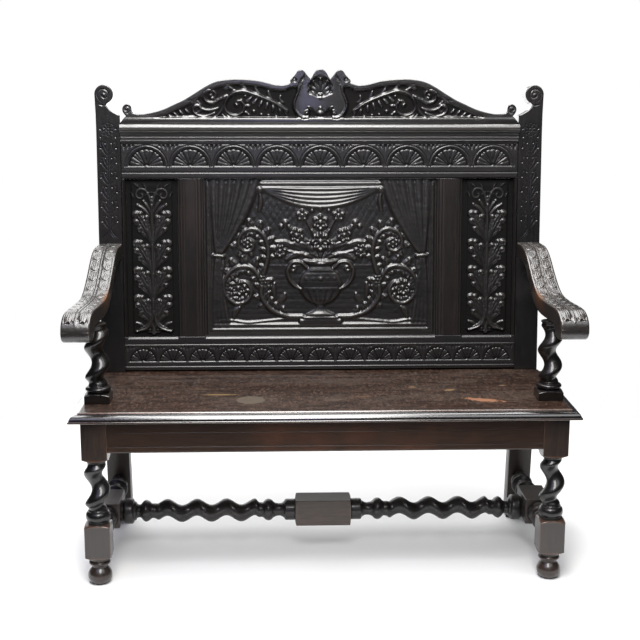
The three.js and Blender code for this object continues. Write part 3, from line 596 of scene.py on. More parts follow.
def oak(name, grain="x", base=(0.017, 0.0135, 0.0115), dark=(0.006, 0.005, 0.0045), warm=(0.034, 0.018, 0.011),
        worn=(0.075, 0.04, 0.022), rough=0.33, coat=0.25, coat_rough=0.16, seed=0.0, warmth=0.35, edge=0.5,
        grime_and_hollow_shade=0.6, bump=1.0, depth=0.00018, extra=None, spec=0.3, coat_ior=1.62, dust_and_top_light=0.0):
    g = Graph(name)
    co = g.coords()
    off = g.mapping(co, loc=(seed * 1.7, seed * 0.9, seed * 2.3))
    wob = g.node("VectorMath", operation="MULTIPLY_ADD")
    nz = g.node("TexNoise", noise_dimensions="3D")
    g.feed(nz.inputs["Vector"], off)
    nz.inputs["Scale"].default_value = 3.5
    nz.inputs["Detail"].default_value = 1.5
    g.nt.links.new(nz.outputs["Color"], wob.inputs[0])
    wob.inputs[1].default_value = (0.05, 0.05, 0.05)
    g.nt.links.new(off, wob.inputs[2])
    P = g.mapping(wob.outputs[0], scale=STRETCH[grain])
    big = g.noise(off, 5.0, 3, 0.6)
    fib = g.noise(P, 190, 4, 0.62)
    fine = g.noise(P, 820, 2, 0.6)
    wear = g.attr("wear")
    tone = g.attr("tone")
    hi = g.span(g.add(wear, g.mul(g.math("SUBTRACT", fib, 0.5), 0.5)), 0.12, 0.85)
    # lo marks the hollows, where the attribute is negative; the colour there is darkened below, grime in part and
    # painted shade in part.
    lo = g.span(wear, -0.05, -0.75)
    pore = g.span(fine, 0.36, 0.47)
    colour = g.mix(g.span(fib, 0.3, 0.7), dark, base)
    colour = g.mix(g.mul(g.span(big, 0.42, 0.72), warmth), colour, warm)
    colour = g.mix(g.mul(hi, edge), colour, worn)
    colour = g.mix(g.math("MULTIPLY", tone, g.span(fib, 0.15, 0.6, 0.65, 1.0)), colour, (0.16, 0.062, 0.019))
    # Hollows darken towards near-black: grime in part, painted shade in part.
    colour = g.mix(g.mul(lo, grime_and_hollow_shade), colour, (0.0016, 0.0014, 0.0013))
    colour = g.mix(g.mul(g.math("SUBTRACT", 1.0, pore), 0.55), colour, dark)
    r = g.add(g.mul(g.math("SUBTRACT", big, 0.5), 0.16), rough)
    r = g.add(r, g.mul(g.math("SUBTRACT", fib, 0.5), 0.18))
    r = g.add(r, g.mul(lo, 0.3))
    r = g.math("SUBTRACT", r, g.mul(hi, 0.06))
    h = g.add(g.mul(pore, 0.35), g.mul(fib, 0.5))
    h = g.add(h, g.mul(g.noise(off, 34, 2, 0.5), 1.1))
    # Upward-facing faces turn pale grey: dust in part, painted light on the tops in part.
    if dust_and_top_light:
        n = g.node("SeparateXYZ")
        g.feed(n.inputs[0], g.node("NewGeometry").outputs["Normal"])
        up = g.mul(g.span(n.outputs[2], 0.72, 0.985), g.span(g.noise(co, 46, 4, 0.6), 0.2, 0.62, 0.62, 1.0))
        colour = g.mix(g.mul(up, dust_and_top_light), colour, (0.13, 0.114, 0.102))
        r = g.add(r, g.mul(up, 0.12))
    if extra:
        colour, r, h = extra(g, co, colour, r, h, dict(big=big, fib=fib, fine=fine, wear=wear, tone=tone, P=P))
    r = g.math("MAXIMUM", r, 0.12)
    return g.finish(colour, r, h, coat=coat, coat_rough=coat_rough, depth=depth, strength=bump, spec=spec, coat_ior=coat_ior)


def seat_marks(g, co, colour, r, h, t):
    """Worn top of the seat: streaks, a round stain, scuffs and an old orange scrape; its moulding stays dark and polished."""
    n = g.node("SeparateXYZ")
    g.feed(n.inputs[0], co)
    x, y, z = n.outputs
    top = g.span(z, 0.4690, 0.4697)
    k = g.noise(co, 55, 3, 0.6)
    k2 = g.noise(co, 190, 2, 0.6)
    wob = g.add(g.mul(g.math("SUBTRACT", k, 0.5), 1.0), g.mul(g.math("SUBTRACT", k2, 0.5), 0.5))

    def spot(cx, cy, rx, ry, soft=0.25, ragged=0.6, turn=0.0):
        px = g.math("SUBTRACT", x, cx / 1000)
        py = g.math("SUBTRACT", y, (cy + OY) / 1000)
        if turn:
            c, q = math.cos(turn), math.sin(turn)
            px, py = g.add(g.mul(px, c), g.mul(py, q)), g.math("SUBTRACT", g.mul(py, c), g.mul(px, q))
        dx, dy = g.mul(px, 1000 / rx), g.mul(py, 1000 / ry)
        d = g.math("SQRT", g.add(g.mul(dx, dx), g.mul(dy, dy)))
        d = g.add(d, g.mul(wob, ragged))
        return g.span(d, 1 + soft, 1 - soft)
    streak = g.noise(g.mapping(co, scale=(0.2, 1, 1)), 62, 4, 0.66)
    speck = g.noise(g.mapping(co, scale=(1.0, 0.42, 1)), 150, 4, 0.7)
    fine = speck
    patch = g.noise(g.mapping(co, scale=(0.7, 1.3, 1), loc=(3, 1, 0)), 7.5, 4, 0.62)
    c = g.mix(g.span(streak, 0.40, 0.60), (0.0142, 0.0072, 0.005), (0.041, 0.0225, 0.0158))
    c = g.mix(g.mul(g.span(patch, 0.50, 0.62), 0.65), c, (0.050, 0.0345, 0.0265))
    c = g.mix(g.mul(g.span(patch, 0.47, 0.36), 0.8), c, (0.0185, 0.0072, 0.0042))
    c = g.mix(g.mul(g.span(speck, 0.53, 0.66), 0.75), c, (0.088, 0.058, 0.042))
    c = g.mix(g.mul(g.span(speck, 0.47, 0.35), 0.8), c, (0.0058, 0.0036, 0.0027))
    c = g.mix(g.mul(g.span(k2, 0.62, 0.70), 0.5), c, (0.13, 0.082, 0.048))
    for cx, cy, rx, ry, f, col, soft, rag, turn in (
            (-280, 169, 48, 5.0, 0.9, (0.17, 0.115, 0.045), 0.4, 0.9, -0.02), (-196, 113, 37, 38, 0.8, (0.088, 0.070, 0.052), 0.06, 0.14, 0),
            (340, 199, 15, 8, 0.85, (0.18, 0.115, 0.055), 0.3, 0.9, 0.3), (243, 234, 9, 12, 0.75, (0.13, 0.08, 0.046), 0.3, 1.1, 0.2), (493, 243, 9, 5, 0.8, (0.16, 0.10, 0.055), 0.3, 0.9, 0),
            (24, 106, 26, 11, 0.45, (0.09, 0.066, 0.05), 0.5, 1.1, 0.3), (100, 137, 24, 5, 0.55, (0.13, 0.066, 0.033), 0.4, 1.2, 0), (418, 96, 50, 14, 0.9, (0.25, 0.118, 0.066), 0.25, 2.3, -0.36),
            (-140, 285, 60, 12, 0.4, (0.07, 0.047, 0.036), 0.6, 1.2, 0.02), (-420, 320, 70, 9, 0.4, (0.066, 0.045, 0.034), 0.6, 1.2, 0), (40, 300, 120, 26, 0.45, (0.055, 0.038, 0.029), 0.7, 1.1, 0),
            (-330, 225, 30, 5, 0.4, (0.10, 0.062, 0.035), 0.5, 1.3, 0), (-60, 340, 26, 6, 0.4, (0.09, 0.06, 0.04), 0.5, 1.2, 0.1), (180, 330, 60, 10, 0.35, (0.075, 0.05, 0.038), 0.6, 1.3, 0),
            (-500, 150, 14, 30, 0.3, (0.09, 0.066, 0.052), 0.7, 1.9, 0.3)):
        c = g.mix(g.mul(spot(cx, cy, rx, ry, soft, rag, turn), f), c, col)
    hi = g.span(t["wear"], 0.25, 0.95)
    side = g.mix(g.span(t["fib"], 0.3, 0.7), (0.003, 0.0022, 0.0018), (0.0075, 0.0045, 0.0032))
    side = g.mix(g.mul(hi, g.span(k, 0.35, 0.6, 0.15, 0.85)), side, (0.055, 0.023, 0.0105))
    lip = g.mul(g.span(z, 0.4655, 0.4680), g.span(k, 0.3, 0.55, 0.4, 1.0))
    side = g.mix(g.mul(lip, 0.8), side, (0.10, 0.046, 0.021))
    colour = g.mix(top, side, c)
    rt = g.add(0.55, g.mul(g.math("SUBTRACT", patch, 0.5), 0.3))
    rs = g.add(0.24, g.mul(g.math("SUBTRACT", k, 0.5), 0.22))
    m = g.node("Mix", data_type="FLOAT")
    g.feed(m.inputs[0], top)
    g.feed(m.inputs[2], rs)
    g.feed(m.inputs[3], rt)
    h = g.add(g.mul(h, 0.6), g.mul(g.mul(fine, top), 0.8))
    return colour, m.outputs[0], h


DEEP = dict(base=(0.0052, 0.0042, 0.0036), dark=(0.0025, 0.0021, 0.0019), warm=(0.0105, 0.006, 0.0044), worn=(0.014, 0.0105, 0.0085), rough=0.36, coat=0.8, coat_rough=0.13, edge=0.3, spec=0.45)
CARVED_X = oak("oak_carved_x", "x", seed=1, **DEEP)
CARVED_Z = oak("oak_carved_z", "z", seed=2, **DEEP)
# The panels' raised forms take a paler worn colour: wear on the high points in part, painted light on their lit
# surfaces in part.
PANEL = oak("oak_panel", "x", seed=16, warmth=0.3, **{**DEEP, "base": (0.0076, 0.0065, 0.0058), "dark": (0.0036, 0.0031, 0.0028), "worn": (0.032, 0.027, 0.023), "edge": 0.7, "rough": 0.4, "coat": 0.5, "coat_rough": 0.19})
PANEL_Z = oak("oak_panel_z", "z", seed=19, warmth=0.25, **{**DEEP, "base": (0.0075, 0.0064, 0.0057), "dark": (0.0038, 0.0033, 0.003), "worn": (0.026, 0.021, 0.018), "edge": 0.6, "rough": 0.42, "coat": 0.42, "coat_rough": 0.23})
# Dark, dull finish for the carvings' recesses: unpolished wood in part, painted shade in part.
GROUND = oak("oak_ground", "x", seed=15, warmth=0.2, base=(0.0042, 0.0037, 0.0034), dark=(0.0022, 0.002, 0.0019), warm=(0.007, 0.0048, 0.0038), worn=(0.01, 0.008, 0.007), rough=0.66, coat=0.0, spec=0.12, edge=0.2)
# Cornice finish: its worn colour is paler and laid on wide, so the round moulding carries a painted highlight as well
# as wear.
FRAME_X = oak("oak_frame_x", "x", seed=3, warmth=0.6, **{**DEEP, "coat": 1.0, "coat_rough": 0.34, "rough": 0.42, "spec": 0.6, "warm": (0.014, 0.0068, 0.0048), "worn": (0.046, 0.040, 0.0375), "edge": 0.85})
FRAME_Z = oak("oak_frame_z", "z", seed=4, warmth=0.5, **{**DEEP, "coat": 0.38, "coat_rough": 0.12, "spec": 0.3})
REAR_LEG = oak("oak_rear_leg", "z", seed=17, warmth=0.6, **{**DEEP, "base": (0.0165, 0.0118, 0.0098), "dark": (0.0085, 0.0062, 0.0052), "warm": (0.032, 0.0185, 0.0135), "worn": (0.05, 0.028, 0.018), "rough": 0.46, "coat": 0.22, "coat_rough": 0.3, "spec": 0.3})
LEG = oak("oak_leg", "z", seed=6, warmth=0.8, **{**DEEP, "base": (0.024, 0.0155, 0.0115), "dark": (0.012, 0.008, 0.0062), "warm": (0.052, 0.027, 0.017), "worn": (0.13, 0.062, 0.035), "coat": 0.4, "edge": 0.5})
# The rails' colour is a paler grey with a violet cast: the wood's tone in part, a painted sheen in part.
RAIL = oak("oak_rail", "x", seed=22, warmth=0.3, **{**DEEP, "base": (0.0086, 0.0078, 0.0082), "dark": (0.0048, 0.0043, 0.0045), "worn": (0.024, 0.021, 0.0205), "edge": 0.55, "rough": 0.4, "coat": 0.42, "coat_rough": 0.2, "spec": 0.4})
TURN_X = oak("oak_turned_x", "x", seed=7, warmth=0.4, dust_and_top_light=0.3, **{**DEEP, "base": (0.0135, 0.0115, 0.0105), "dark": (0.0075, 0.0065, 0.006), "warm": (0.024, 0.0165, 0.013), "worn": (0.04, 0.03, 0.024), "rough": 0.42, "coat": 0.3, "coat_rough": 0.2, "spec": 0.4})
# The blocks' colours are set paler than the oak around them: their own tone in part, painted light in part that makes
# up for the seat's shade over them.
BLOCK = oak("oak_block", "x", seed=20, warmth=0.5, dust_and_top_light=0.9, **{**DEEP, "base": (0.098, 0.082, 0.073), "dark": (0.070, 0.058, 0.052), "warm": (0.11, 0.086, 0.071), "worn": (0.14, 0.11, 0.092), "rough": 0.55, "coat": 0.06, "coat_rough": 0.3, "spec": 0.3})
BLOCK_Y = oak("oak_block_y", "y", seed=21, warmth=0.5, dust_and_top_light=0.9, **{**DEEP, "base": (0.036, 0.030, 0.027), "dark": (0.025, 0.021, 0.019), "warm": (0.046, 0.035, 0.029), "worn": (0.08, 0.062, 0.051), "rough": 0.5, "coat": 0.1, "coat_rough": 0.3, "spec": 0.3})
STRETCHER_Y = oak("oak_stretcher_y", "y", seed=14, warmth=0.5, dust_and_top_light=0.6, **{**DEEP, "base": (0.0145, 0.012, 0.0108), "dark": (0.0078, 0.0066, 0.006), "warm": (0.028, 0.018, 0.0135), "worn": (0.045, 0.033, 0.026), "rough": 0.45, "coat": 0.22, "coat_rough": 0.3, "spec": 0.35})
# The arms' carved cuts are darkened strongly: grime in part, painted shade in part.
ARM = oak("oak_arm", "y", seed=8, grime_and_hollow_shade=0.98, **{**DEEP, "base": (0.020, 0.016, 0.0138), "dark": (0.0095, 0.0076, 0.0065), "warm": (0.038, 0.022, 0.0152), "worn": (0.07, 0.05, 0.038), "edge": 0.4, "rough": 0.42, "coat": 0.75, "coat_rough": 0.26, "spec": 0.5})
APRON = oak("oak_apron", "x", seed=9, warmth=1.0, bump=0.3, **{**DEEP, "base": (0.034, 0.0175, 0.0108), "dark": (0.0205, 0.011, 0.007), "warm": (0.064, 0.0245, 0.0118), "coat": 0.4, "coat_rough": 0.2, "spec": 0.3})
MUNTIN = oak("oak_muntin", "z", seed=10, warmth=0.8, bump=0.5, **{**DEEP, "base": (0.0092, 0.0061, 0.0049), "dark": (0.005, 0.0034, 0.0028), "warm": (0.0165, 0.0092, 0.0067), "worn": (0.034, 0.025, 0.02), "edge": 0.6})
BACK_X = oak("oak_back_x", "x", seed=23, warmth=0.7, grime_and_hollow_shade=0.3, base=(0.026, 0.0175, 0.0128), dark=(0.0125, 0.0085, 0.0064), warm=(0.042, 0.0255, 0.0168), worn=(0.05, 0.033, 0.023), rough=0.6, coat=0.0, spec=0.3, depth=0.0003)
BACK_Z = oak("oak_back_z", "z", seed=24, warmth=0.7, grime_and_hollow_shade=0.3, base=(0.024, 0.016, 0.0118), dark=(0.0115, 0.0078, 0.0058), warm=(0.038, 0.023, 0.0152), worn=(0.05, 0.033, 0.023), rough=0.6, coat=0.0, spec=0.3, depth=0.0003)
SEAT = oak("oak_seat", "x", seed=11, extra=seat_marks, **{**DEEP, "coat": 0.35, "coat_rough": 0.14, "spec": 0.12})
SEAT_EDGE = oak("oak_seat_edge", "x", seed=18, extra=seat_marks, bump=0.6, **{**DEEP, "coat": 1.0, "coat_rough": 0.15, "spec": 0.6})
RAW = oak("wood_block", "x", seed=12, base=(0.10, 0.06, 0.036), dark=(0.05, 0.03, 0.018), warm=(0.14, 0.08, 0.046), worn=(0.17, 0.11, 0.066), rough=0.68, coat=0.0)


# ---------------------------------------------------------------- turnings
def thetas(n=96, dense=True):
    a = np.arange(n) / n * 2 * PI
    if dense:
        extra = []
        for q in range(4):
            for d in (-3.0, -1.9, -1.0, 1.0, 1.9, 3.0):
                extra.append(math.radians(45 + 90 * q + d))
        a = np.concatenate([a, extra])
    return np.sort(a)


def square_r(th, a, rho=1.8):
    ph = (th + PI / 4) % (PI / 2) - PI / 4
    c, s = np.cos(ph), np.abs(np.sin(ph))
    flat = a / c
    k = (a - rho)
    d = k * (c + s)
    disc = d * d - (2 * k * k - rho * rho)
    arc_r = d + np.sqrt(np.maximum(disc, 0))
    return np.where(s / c < k / a, flat, arc_r)


def turned_rows(rows, th):
    """rows: list of (w, r, e, phi, square half or 0). Gives U, V, W grids and a wear value."""
    w = np.array([r[0] for r in rows], float)
    r = np.array([r[1] for r in rows], float)
    e = np.array([r[2] for r in rows], float)
    ph = np.array([r[3] for r in rows], float)
    sq = np.array([r[4] for r in rows], float)
    R = np.repeat(r[:, None], len(th), 1)
    edge = np.zeros_like(R)
    for i in np.nonzero(sq > 0)[0]:
        q = square_r(th, sq[i])
        R[i] = np.minimum(q, r[i])
        corner = q > sq[i] * 1.385
        edge[i] = np.where(corner & (q < r[i]), 0.9, 0) + np.where(np.abs(q - r[i]) < 1.2, 0.5, 0)
    U = R * np.cos(th) + (e * np.cos(ph))[:, None]
    V = R * np.sin(th) + (e * np.sin(ph))[:, None]
    return U, V, np.repeat(w[:, None], len(th), 1), edge


def prof(points, step=1.0, smoothness=True):
    """Turned profile through (w, r) points. A point given as (w, r, 1) is a sharp corner."""
    out = []
    run = [points[0][:2]]
    for p in points[1:]:
        run.append(p[:2])
        if len(p) > 2 and p[2]:
            out.append(run)
            run = [p[:2]]
    out.append(run)
    rows = []
    for run in out:
        if len(run) > 2:
            q = resample(catmull(run, 10), step)
        else:
            q = resample(np.array(run, float), max(step, 2.0))
        if rows:
            q = q[1:]
        rows += [tuple(x) for x in q]
    return rows


def tw(w0, w1, r, e, pitch, phase, ramp=16.0, hand=1, step=1.6, r_end=None):
    n = int((w1 - w0) / step)
    out = []
    for i in range(n + 1):
        w = w0 + (w1 - w0) * i / n
        k = min(1, (w - w0) / ramp, (w1 - w) / ramp)
        f = k * k * (3 - 2 * k)
        rr = r if r_end is None else r_end + (r - r_end) * f
        out.append((w, rr, e * f, phase + hand * 2 * PI * w / pitch, 0))
    return out


def rows_of(pr, sq=0):
    return [(w, r, 0, 0, sq) for w, r in pr]


def shoulder(w0, w1, a, r_lo, out=12.0, both=True):
    """Square block from w0 to w1 (half width a) whose ends are turned shoulders rising from radius r_lo."""
    reach = a * math.sqrt(2) + 1.5
    t = np.linspace(0, 1, 12)
    rr = r_lo + (reach - r_lo) * (1 - (1 - t) ** 1.75)
    rows = [(w0 + out * tt, q, 0, 0, a) for tt, q in zip(t, rr)]
    rows += [(w0 + out + (w1 - w0 - 2 * out) * k, reach, 0, 0, a) for k in np.linspace(0, 1, 8)[1:-1]]
    if both:
        rows += [(w1 - out * tt, q, 0, 0, a) for tt, q in zip(t[::-1], rr[::-1])]
    else:
        rows += [(w1 - out, reach, 0, 0, a), (w1 - 0.8, reach, 0, 0, a), (w1, reach - 1.5, 0, 0, a - 0.8)]
    return rows


def turned(name, rows, place, mat, th=None, other=None, **kw):
    th = thetas() if th is None else th
    rows = sorted_rows(rows)
    U, V, W, edge = turned_rows(rows, th)
    r = np.hypot(U, V)
    k = np.ones(9) / 9
    rm = np.array([r[i].mean() for i in range(len(r))])
    sm = np.convolve(np.pad(rm, 4, mode="edge"), k, mode="valid")
    wear = np.clip((rm - sm) / 1.6, -0.9, 0.6)[:, None] + edge
    spin = np.array([q[2] for q in rows])[:, None]
    phi = np.array([q[3] for q in rows])[:, None]
    wear = wear + 0.22 * (spin / 9.5) * np.cos(th[None, :] - phi)
    P = place(U, V, W)
    o = loft(name, P, mat, wear=np.clip(wear, -1, 1), sharp=50, **kw)
    if other:
        second(o, other[0], np.repeat([bool(other[1](q)) for q in rows[:-1]], len(th)))
    return o


def sorted_rows(rows):
    out = [rows[0]]
    for q in rows[1:]:
        if abs(q[0] - out[-1][0]) < 1e-6 and abs(q[1] - out[-1][1]) < 1e-6 and q[4] == out[-1][4]:
            continue
        out.append(q)
    return out


def front_leg(side, x, bulge):
    phase = PI - 2 * PI * bulge / 85
    foot = prof([(0, 15.5), (0.7, 17.6), (3, 22.4), (7.5, 27), (13.5, 30.2), (20.5, 31.4), (27.5, 30.6), (34, 28), (39.5, 24.4), (43, 21.6, 1),
                 (44.5, 20.2, 1), (46.5, 19.8), (49.5, 20.2, 1), (51.5, 24), (53.8, 26.8), (57, 28), (60.4, 26.8), (62.6, 24.2, 1), (65, 23.4), (68, 23.6), (70.4, 24.8, 1)], 0.9)
    rows = rows_of(foot)
    rows += shoulder(71, 168, LEG_HALF, 25.4, out=10.5)
    neck = prof([(168, 25.4), (169, 26.4), (171.6, 26.6, 1), (172.2, 25.6, 1), (174, 28.4), (178, 30.8), (184, 31.9), (190, 31.2), (195, 28.8), (197.6, 25.6, 1), (198.4, 25.4), (201, 25.2, 1), (203, 23.6)], 0.8)
    rows += rows_of(neck)
    rows += tw(204, 330, 23.5, 9.5, 85, phase)
    rows += rows_of(prof([(331, 23.6), (332.5, 25.8), (334.5, 26.6), (336, 26.2, 1)], 0.6))
    rows += shoulder(336, RAIL_TOP - 0.3, LEG_HALF, 26.6, out=11.5, both=False)
    turned("front_leg_" + side + "_turned", rows, lambda u, v, w: np.stack([x + u, LEG_Y + v, w], -1), LEG, other=(FRAME_Z, lambda q: q[4] == 0 and 168 < q[0] < 336),
           nodes=("front_leg_" + side,), slot="frame_oak")


front_leg("left", -LEG_X, 212.5)
front_leg("right", LEG_X, 224.5)


def arm_support(side, x, bulge):
    phase = PI - 2 * PI * bulge / 80
    rows = [(SEAT_TOP - 17, 10.8, 0, 0, 0), (SEAT_TOP + 0.3, 10.8, 0, 0, 0)]
    a = LEG_HALF
    reach = a * math.sqrt(2) + 1.5
    rows += [(SEAT_TOP + 0.3, reach - 1.5, 0, 0, a - 0.9), (SEAT_TOP + 1.1, reach, 0, 0, a), (480, reach, 0, 0, a), (486, reach, 0, 0, a)]
    t = np.linspace(0, 1, 12)
    rr = 26.0 + (reach - 26.0) * (1 - (1 - t) ** 1.75)
    rows += [(497 - 10 * tt, q, 0, 0, a) for tt, q in zip(t[::-1], rr[::-1])]
    rows += rows_of(prof([(497, 25.2), (498.5, 28), (501.5, 31.6), (505, 33), (508.6, 31.8), (511.2, 28.4), (512.4, 25.4, 1), (513.2, 24.8), (516, 24.4, 1), (517.5, 23.6)], 0.7))
    rows += tw(518, 673, 23.5, 9, 80, phase)
    rows += rows_of(prof([(674, 23.8), (675, 25.6), (677, 26.4), (678.7, 26.0)], 0.7))
    turned("arm_support_" + side + "_turned", rows, lambda u, v, w: np.stack([x + u, 113 + v, w], -1), FRAME_Z,
           nodes=("arm_support_" + side,), slot="frame_oak")


arm_support("left", -LEG_X, 533)
arm_support("right", LEG_X, 602.5)

STRETCH_Y, STRETCH_Z, MEDIAL_Z = 240.0, 125.0, 118.5


def side_stretcher(side, s):
    y0 = LEG_Y + LEG_HALF + 0.3
    b0, b1 = STRETCH_Y - 60, STRETCH_Y + 64
    yr = BACK_Y + (SEAT_TOP - STRETCH_Z) * math.tan(LEG_RAKE) - 0.3
    sh = -math.tan(LEG_RAKE)
    rows = rows_of([(42, 11), (y0, 11)])
    rows += rows_of(prof([(y0, 24.2, 1), (y0 + 1, 25), (y0 + 9, 25), (y0 + 10, 24.2, 1), (y0 + 11.5, 19.6), (y0 + 18, 17.4), (y0 + 26, 16.9), (y0 + 34, 18), (y0 + 40, 20, 1),
                          (y0 + 42, 23), (y0 + 46, 28.2), (y0 + 51, 30), (y0 + 56, 28.2), (y0 + 60, 22.6, 1), (y0 + 62, 20), (y0 + 70, 17.8), (y0 + 80, 17.6), (y0 + 90, 20.8, 1),
                          (y0 + 92, 24.4), (y0 + 96, 28), (y0 + 102, 29.6), (b0, 28.6)], 1.0))
    a = 35.0
    rows += shoulder(b0, b1, a, 28.8, out=5.0)
    rows += rows_of(prof([(b1, 28.4), (b1 + 5, 29.6), (b1 + 9, 28.6), (b1 + 11, 23, 1), (b1 + 13, 20), (b1 + 20, 17.8), (b1 + 28, 18), (b1 + 34, 20.4, 1),
                          (b1 + 36, 23.4), (b1 + 40, 28.8), (b1 + 45, 31), (b1 + 50, 29), (b1 + 54, 23, 1), (b1 + 57, 19.8), (b1 + 66, 17.4), (b1 + 76, 17), (b1 + 86, 18.4), (b1 + 92, 20.8, 1),
                          (b1 + 94, 23.6), (b1 + 98, 28.8), (b1 + 103, 31), (b1 + 108, 28.6), (b1 + 111, 22.6, 1), (b1 + 114, 21), (yr - 25, 20.8, 1), (yr - 23, 24)], 1.0))
    n0 = len(rows)
    rows += rows_of([(yr - 20, 25), (yr - 8, 25), (yr, 24.6), (yr, 11), (479, 11)])
    shear = np.zeros(len(rows))
    shear[n0:] = [0.3 * sh, 0.7 * sh, sh, sh, sh]
    th = thetas()

    # the last stations lean with the raked leg they meet
    def place(u, v, w):
        k = np.interp(w, [yr - 24, yr - 20, yr - 8, yr], [0, 0.2 * sh, 0.7 * sh, sh])
        return np.stack([s * LEG_X + u, w + k * v, STRETCH_Z + v], -1)
    turned("side_stretcher_" + side + "_turned", rows, place, STRETCHER_Y, th=th, other=(BLOCK_Y, lambda q: q[4] > 0), nodes=("side_stretcher_" + side,), slot="frame_oak")


side_stretcher("left", -1)
side_stretcher("right", 1)


def medial():
    xe = LEG_X - 35 - 0.3
    pitch = 82.0

    def half(s, top):
        rows = [(0, 52.4, 0, 0, 36.0), (s * 30, 52.4, 0, 0, 36.0)]
        t = np.linspace(0, 1, 8)
        rr = 29.0 + (52.4 - 29.0) * (1 - (1 - t) ** 1.75)
        rows += [(s * (78 - 5 * tt), q, 0, 0, 36.0) for tt, q in zip(t[::-1], rr[::-1])]
        p = prof([(78, 28.2), (80, 29.2), (90, 29.4), (103, 29.2), (106, 27.4, 1), (109, 22.8), (116, 18.4), (123, 17.4), (131, 18.6), (136, 20.6, 1), (139, 23), (144, 27.6), (152, 30), (160, 27.6), (165, 23, 1), (169, 20.4), (174, 20.4)], 1.0)
        rows += [(s * w, r, 0, 0, 0) for w, r in p]
        for w, r, e, ph, q in tw(176, 468, 23.5, 8.5, pitch, 0, ramp=15, r_end=20.6):
            rows.append((s * w, r, e, PI / 2 + 2 * PI * (s * w - top) / pitch, 0))
        p = prof([(469, 20.4), (475, 20.2, 1), (478, 22.6), (483, 27), (491, 30), (498, 27), (502.5, 22, 1), (506, 18.6), (511, 17.8), (516.5, 20, 1), (518, 24), (521, 26), (524, 27, 1), (525.4, 31.6), (528, 34.4), (533, 35.4), (544, 35.4), (549, 34.4), (552, 31.8), (553.4, 29.8, 1), (xe, 29.4)], 1.0)
        rows += [(s * w, r, 0, 0, 0) for w, r in p]
        rows += [(s * xe, 10, 0, 0, 0), (s * (xe + 21.5), 10, 0, 0, 0)]
        return rows
    left = half(-1, -346)[::-1]
    rows = left[:-1] + half(1, 300)
    turned("medial_stretcher_turned", rows, lambda u, v, w: np.stack([w, STRETCH_Y + u, MEDIAL_Z + v], -1), TURN_X, other=(BLOCK, lambda q: q[4] > 0),
           nodes=("medial_stretcher",), slot="frame_oak")


medial()


# ---------------------------------------------------------------- seat and aprons
def seat():
    e = [(24, 446.0), (1.6, 446.0), (0.5, 446.5), (0, 447.6), (0, 449.8), (0.6, 450.8), (1.8, 451.2), (2.7, 451.4), (2.9, 453), (3.8, 456.1), (5.6, 459.2), (8.4, 461.9), (12, 463.9),
         (16, 465.1), (20.4, 465.5), (22.6, 465.5), (22.9, 466.6), (23.3, 467.7), (24.3, 468.9), (25.9, 469.7), (28.1, 470), (32, 470), (40, 470)]
    # plan corners: front left, front right, rear right, notch, notch, rear left; front corners are eased
    def ring(d, z):
        x, yf = 655 - d, -22 + d
        rc = max(0.8, 3.2 - d * 0.1)
        P = []
        for k, (cx, cy, a0) in enumerate([(-x + rc, yf + rc, 180), (x - rc, yf + rc, 270)]):
            for a in np.linspace(a0, a0 + 90, 7):
                P.append((cx + rc * math.cos(math.radians(a)), cy + rc * math.sin(math.radians(a))))
        yb = BACK_Y - 0.3
        P += [(x, yb), (POST_IN - 0.3, yb), (POST_IN - 0.3, 453), (-POST_IN + 0.3, 453), (-POST_IN + 0.3, yb), (-x, yb)]
        return [(px, py, z) for px, py in P]
    R = np.array([ring(d, z) for d, z in e])
    m, n = R.shape[:2]
    d = np.array([q[0] for q in e])
    w = np.interp(np.arange(m), np.arange(m), [0, 0.7, 0.9, 0.7, 0.6, 0.8, 0, -0.9, -0.3, 0, 0, 0, 0, 0, 0.3, -0.9, -0.5, 0.2, 0.9, 1.0, 0.7, 0.1, 0])
    wear = np.repeat(w[:, None], n, 1)
    wear[:, 14:] *= 0.2
    o = loft("seat_board_moulded", R, SEAT, nodes=("seat_board",), slot="seat_oak", wear=wear, sharp=42)
    second(o, SEAT_EDGE, np.concatenate([np.ones(20 * n, bool), np.zeros((m - 21) * n, bool), [True]]))


seat()


def board_x(name, outline, x0, x1, mat, frame3=None, nodes=(), slot=None, bevel=0.0, wear=None, sharp=42, closed_pts=None):
    """Outline of (y, z) or (v, h) pairs carried along X."""
    P = np.asarray(outline, float)
    xs = [x0, x0 + 0.8, x0 + 6, x1 - 6, x1 - 0.8, x1]
    R = []
    c = P.mean(0)
    for k, x in enumerate(xs):
        q = P
        if k in (0, 5):
            q = P + (c - P) / np.maximum(np.abs(P - c), 1e-6) * np.minimum(0.8, np.abs(P - c))
        xx = np.full(len(q), x)
        R.append(np.stack([xx, q[:, 0], q[:, 1]], -1) if frame3 is None else frame3(xx, q[:, 0], q[:, 1]))
    W = None if wear is None else np.repeat(np.asarray(wear)[None, :], len(xs), 0)
    return loft(name, np.array(R), mat, nodes=nodes, slot=slot, sharp=sharp, wear=W, bevel=bevel)


def groove(h, w=1.5, d=1.5):
    return [(0, h - w), (0.35, h - w + 0.35), (d * 0.8, h - 0.75), (d, h - 0.25), (d, h + 0.25), (d * 0.8, h + 0.75), (0.35, h + w - 0.35), (0, h + w)]


def front_apron():
    x = LEG_X - LEG_HALF - 0.3
    z0, z1 = RAIL_BOTTOM, RAIL_TOP - 0.3
    P = [(22, z1), (22, z0 + 0.8), (21.2, z0), (1.6, z0), (0.5, z0 + 0.5), (0, z0 + 1.6), (0, z0 + 5)]
    W = [0, 0.3, 0.3, 0.8, 1, 0.8, 0]
    for gz in (379, 416):
        g = groove(gz)
        P += g
        W += [0.4, 0.8, -0.4, -1, -1, -0.4, 0.8, 0.4]
    P += [(0, z1 - 3), (0, z1)]
    W += [0, -0.6]
    board_x("front_apron_board", P, -x, x, APRON, nodes=("front_apron",), slot="rail_oak", wear=W)


front_apron()


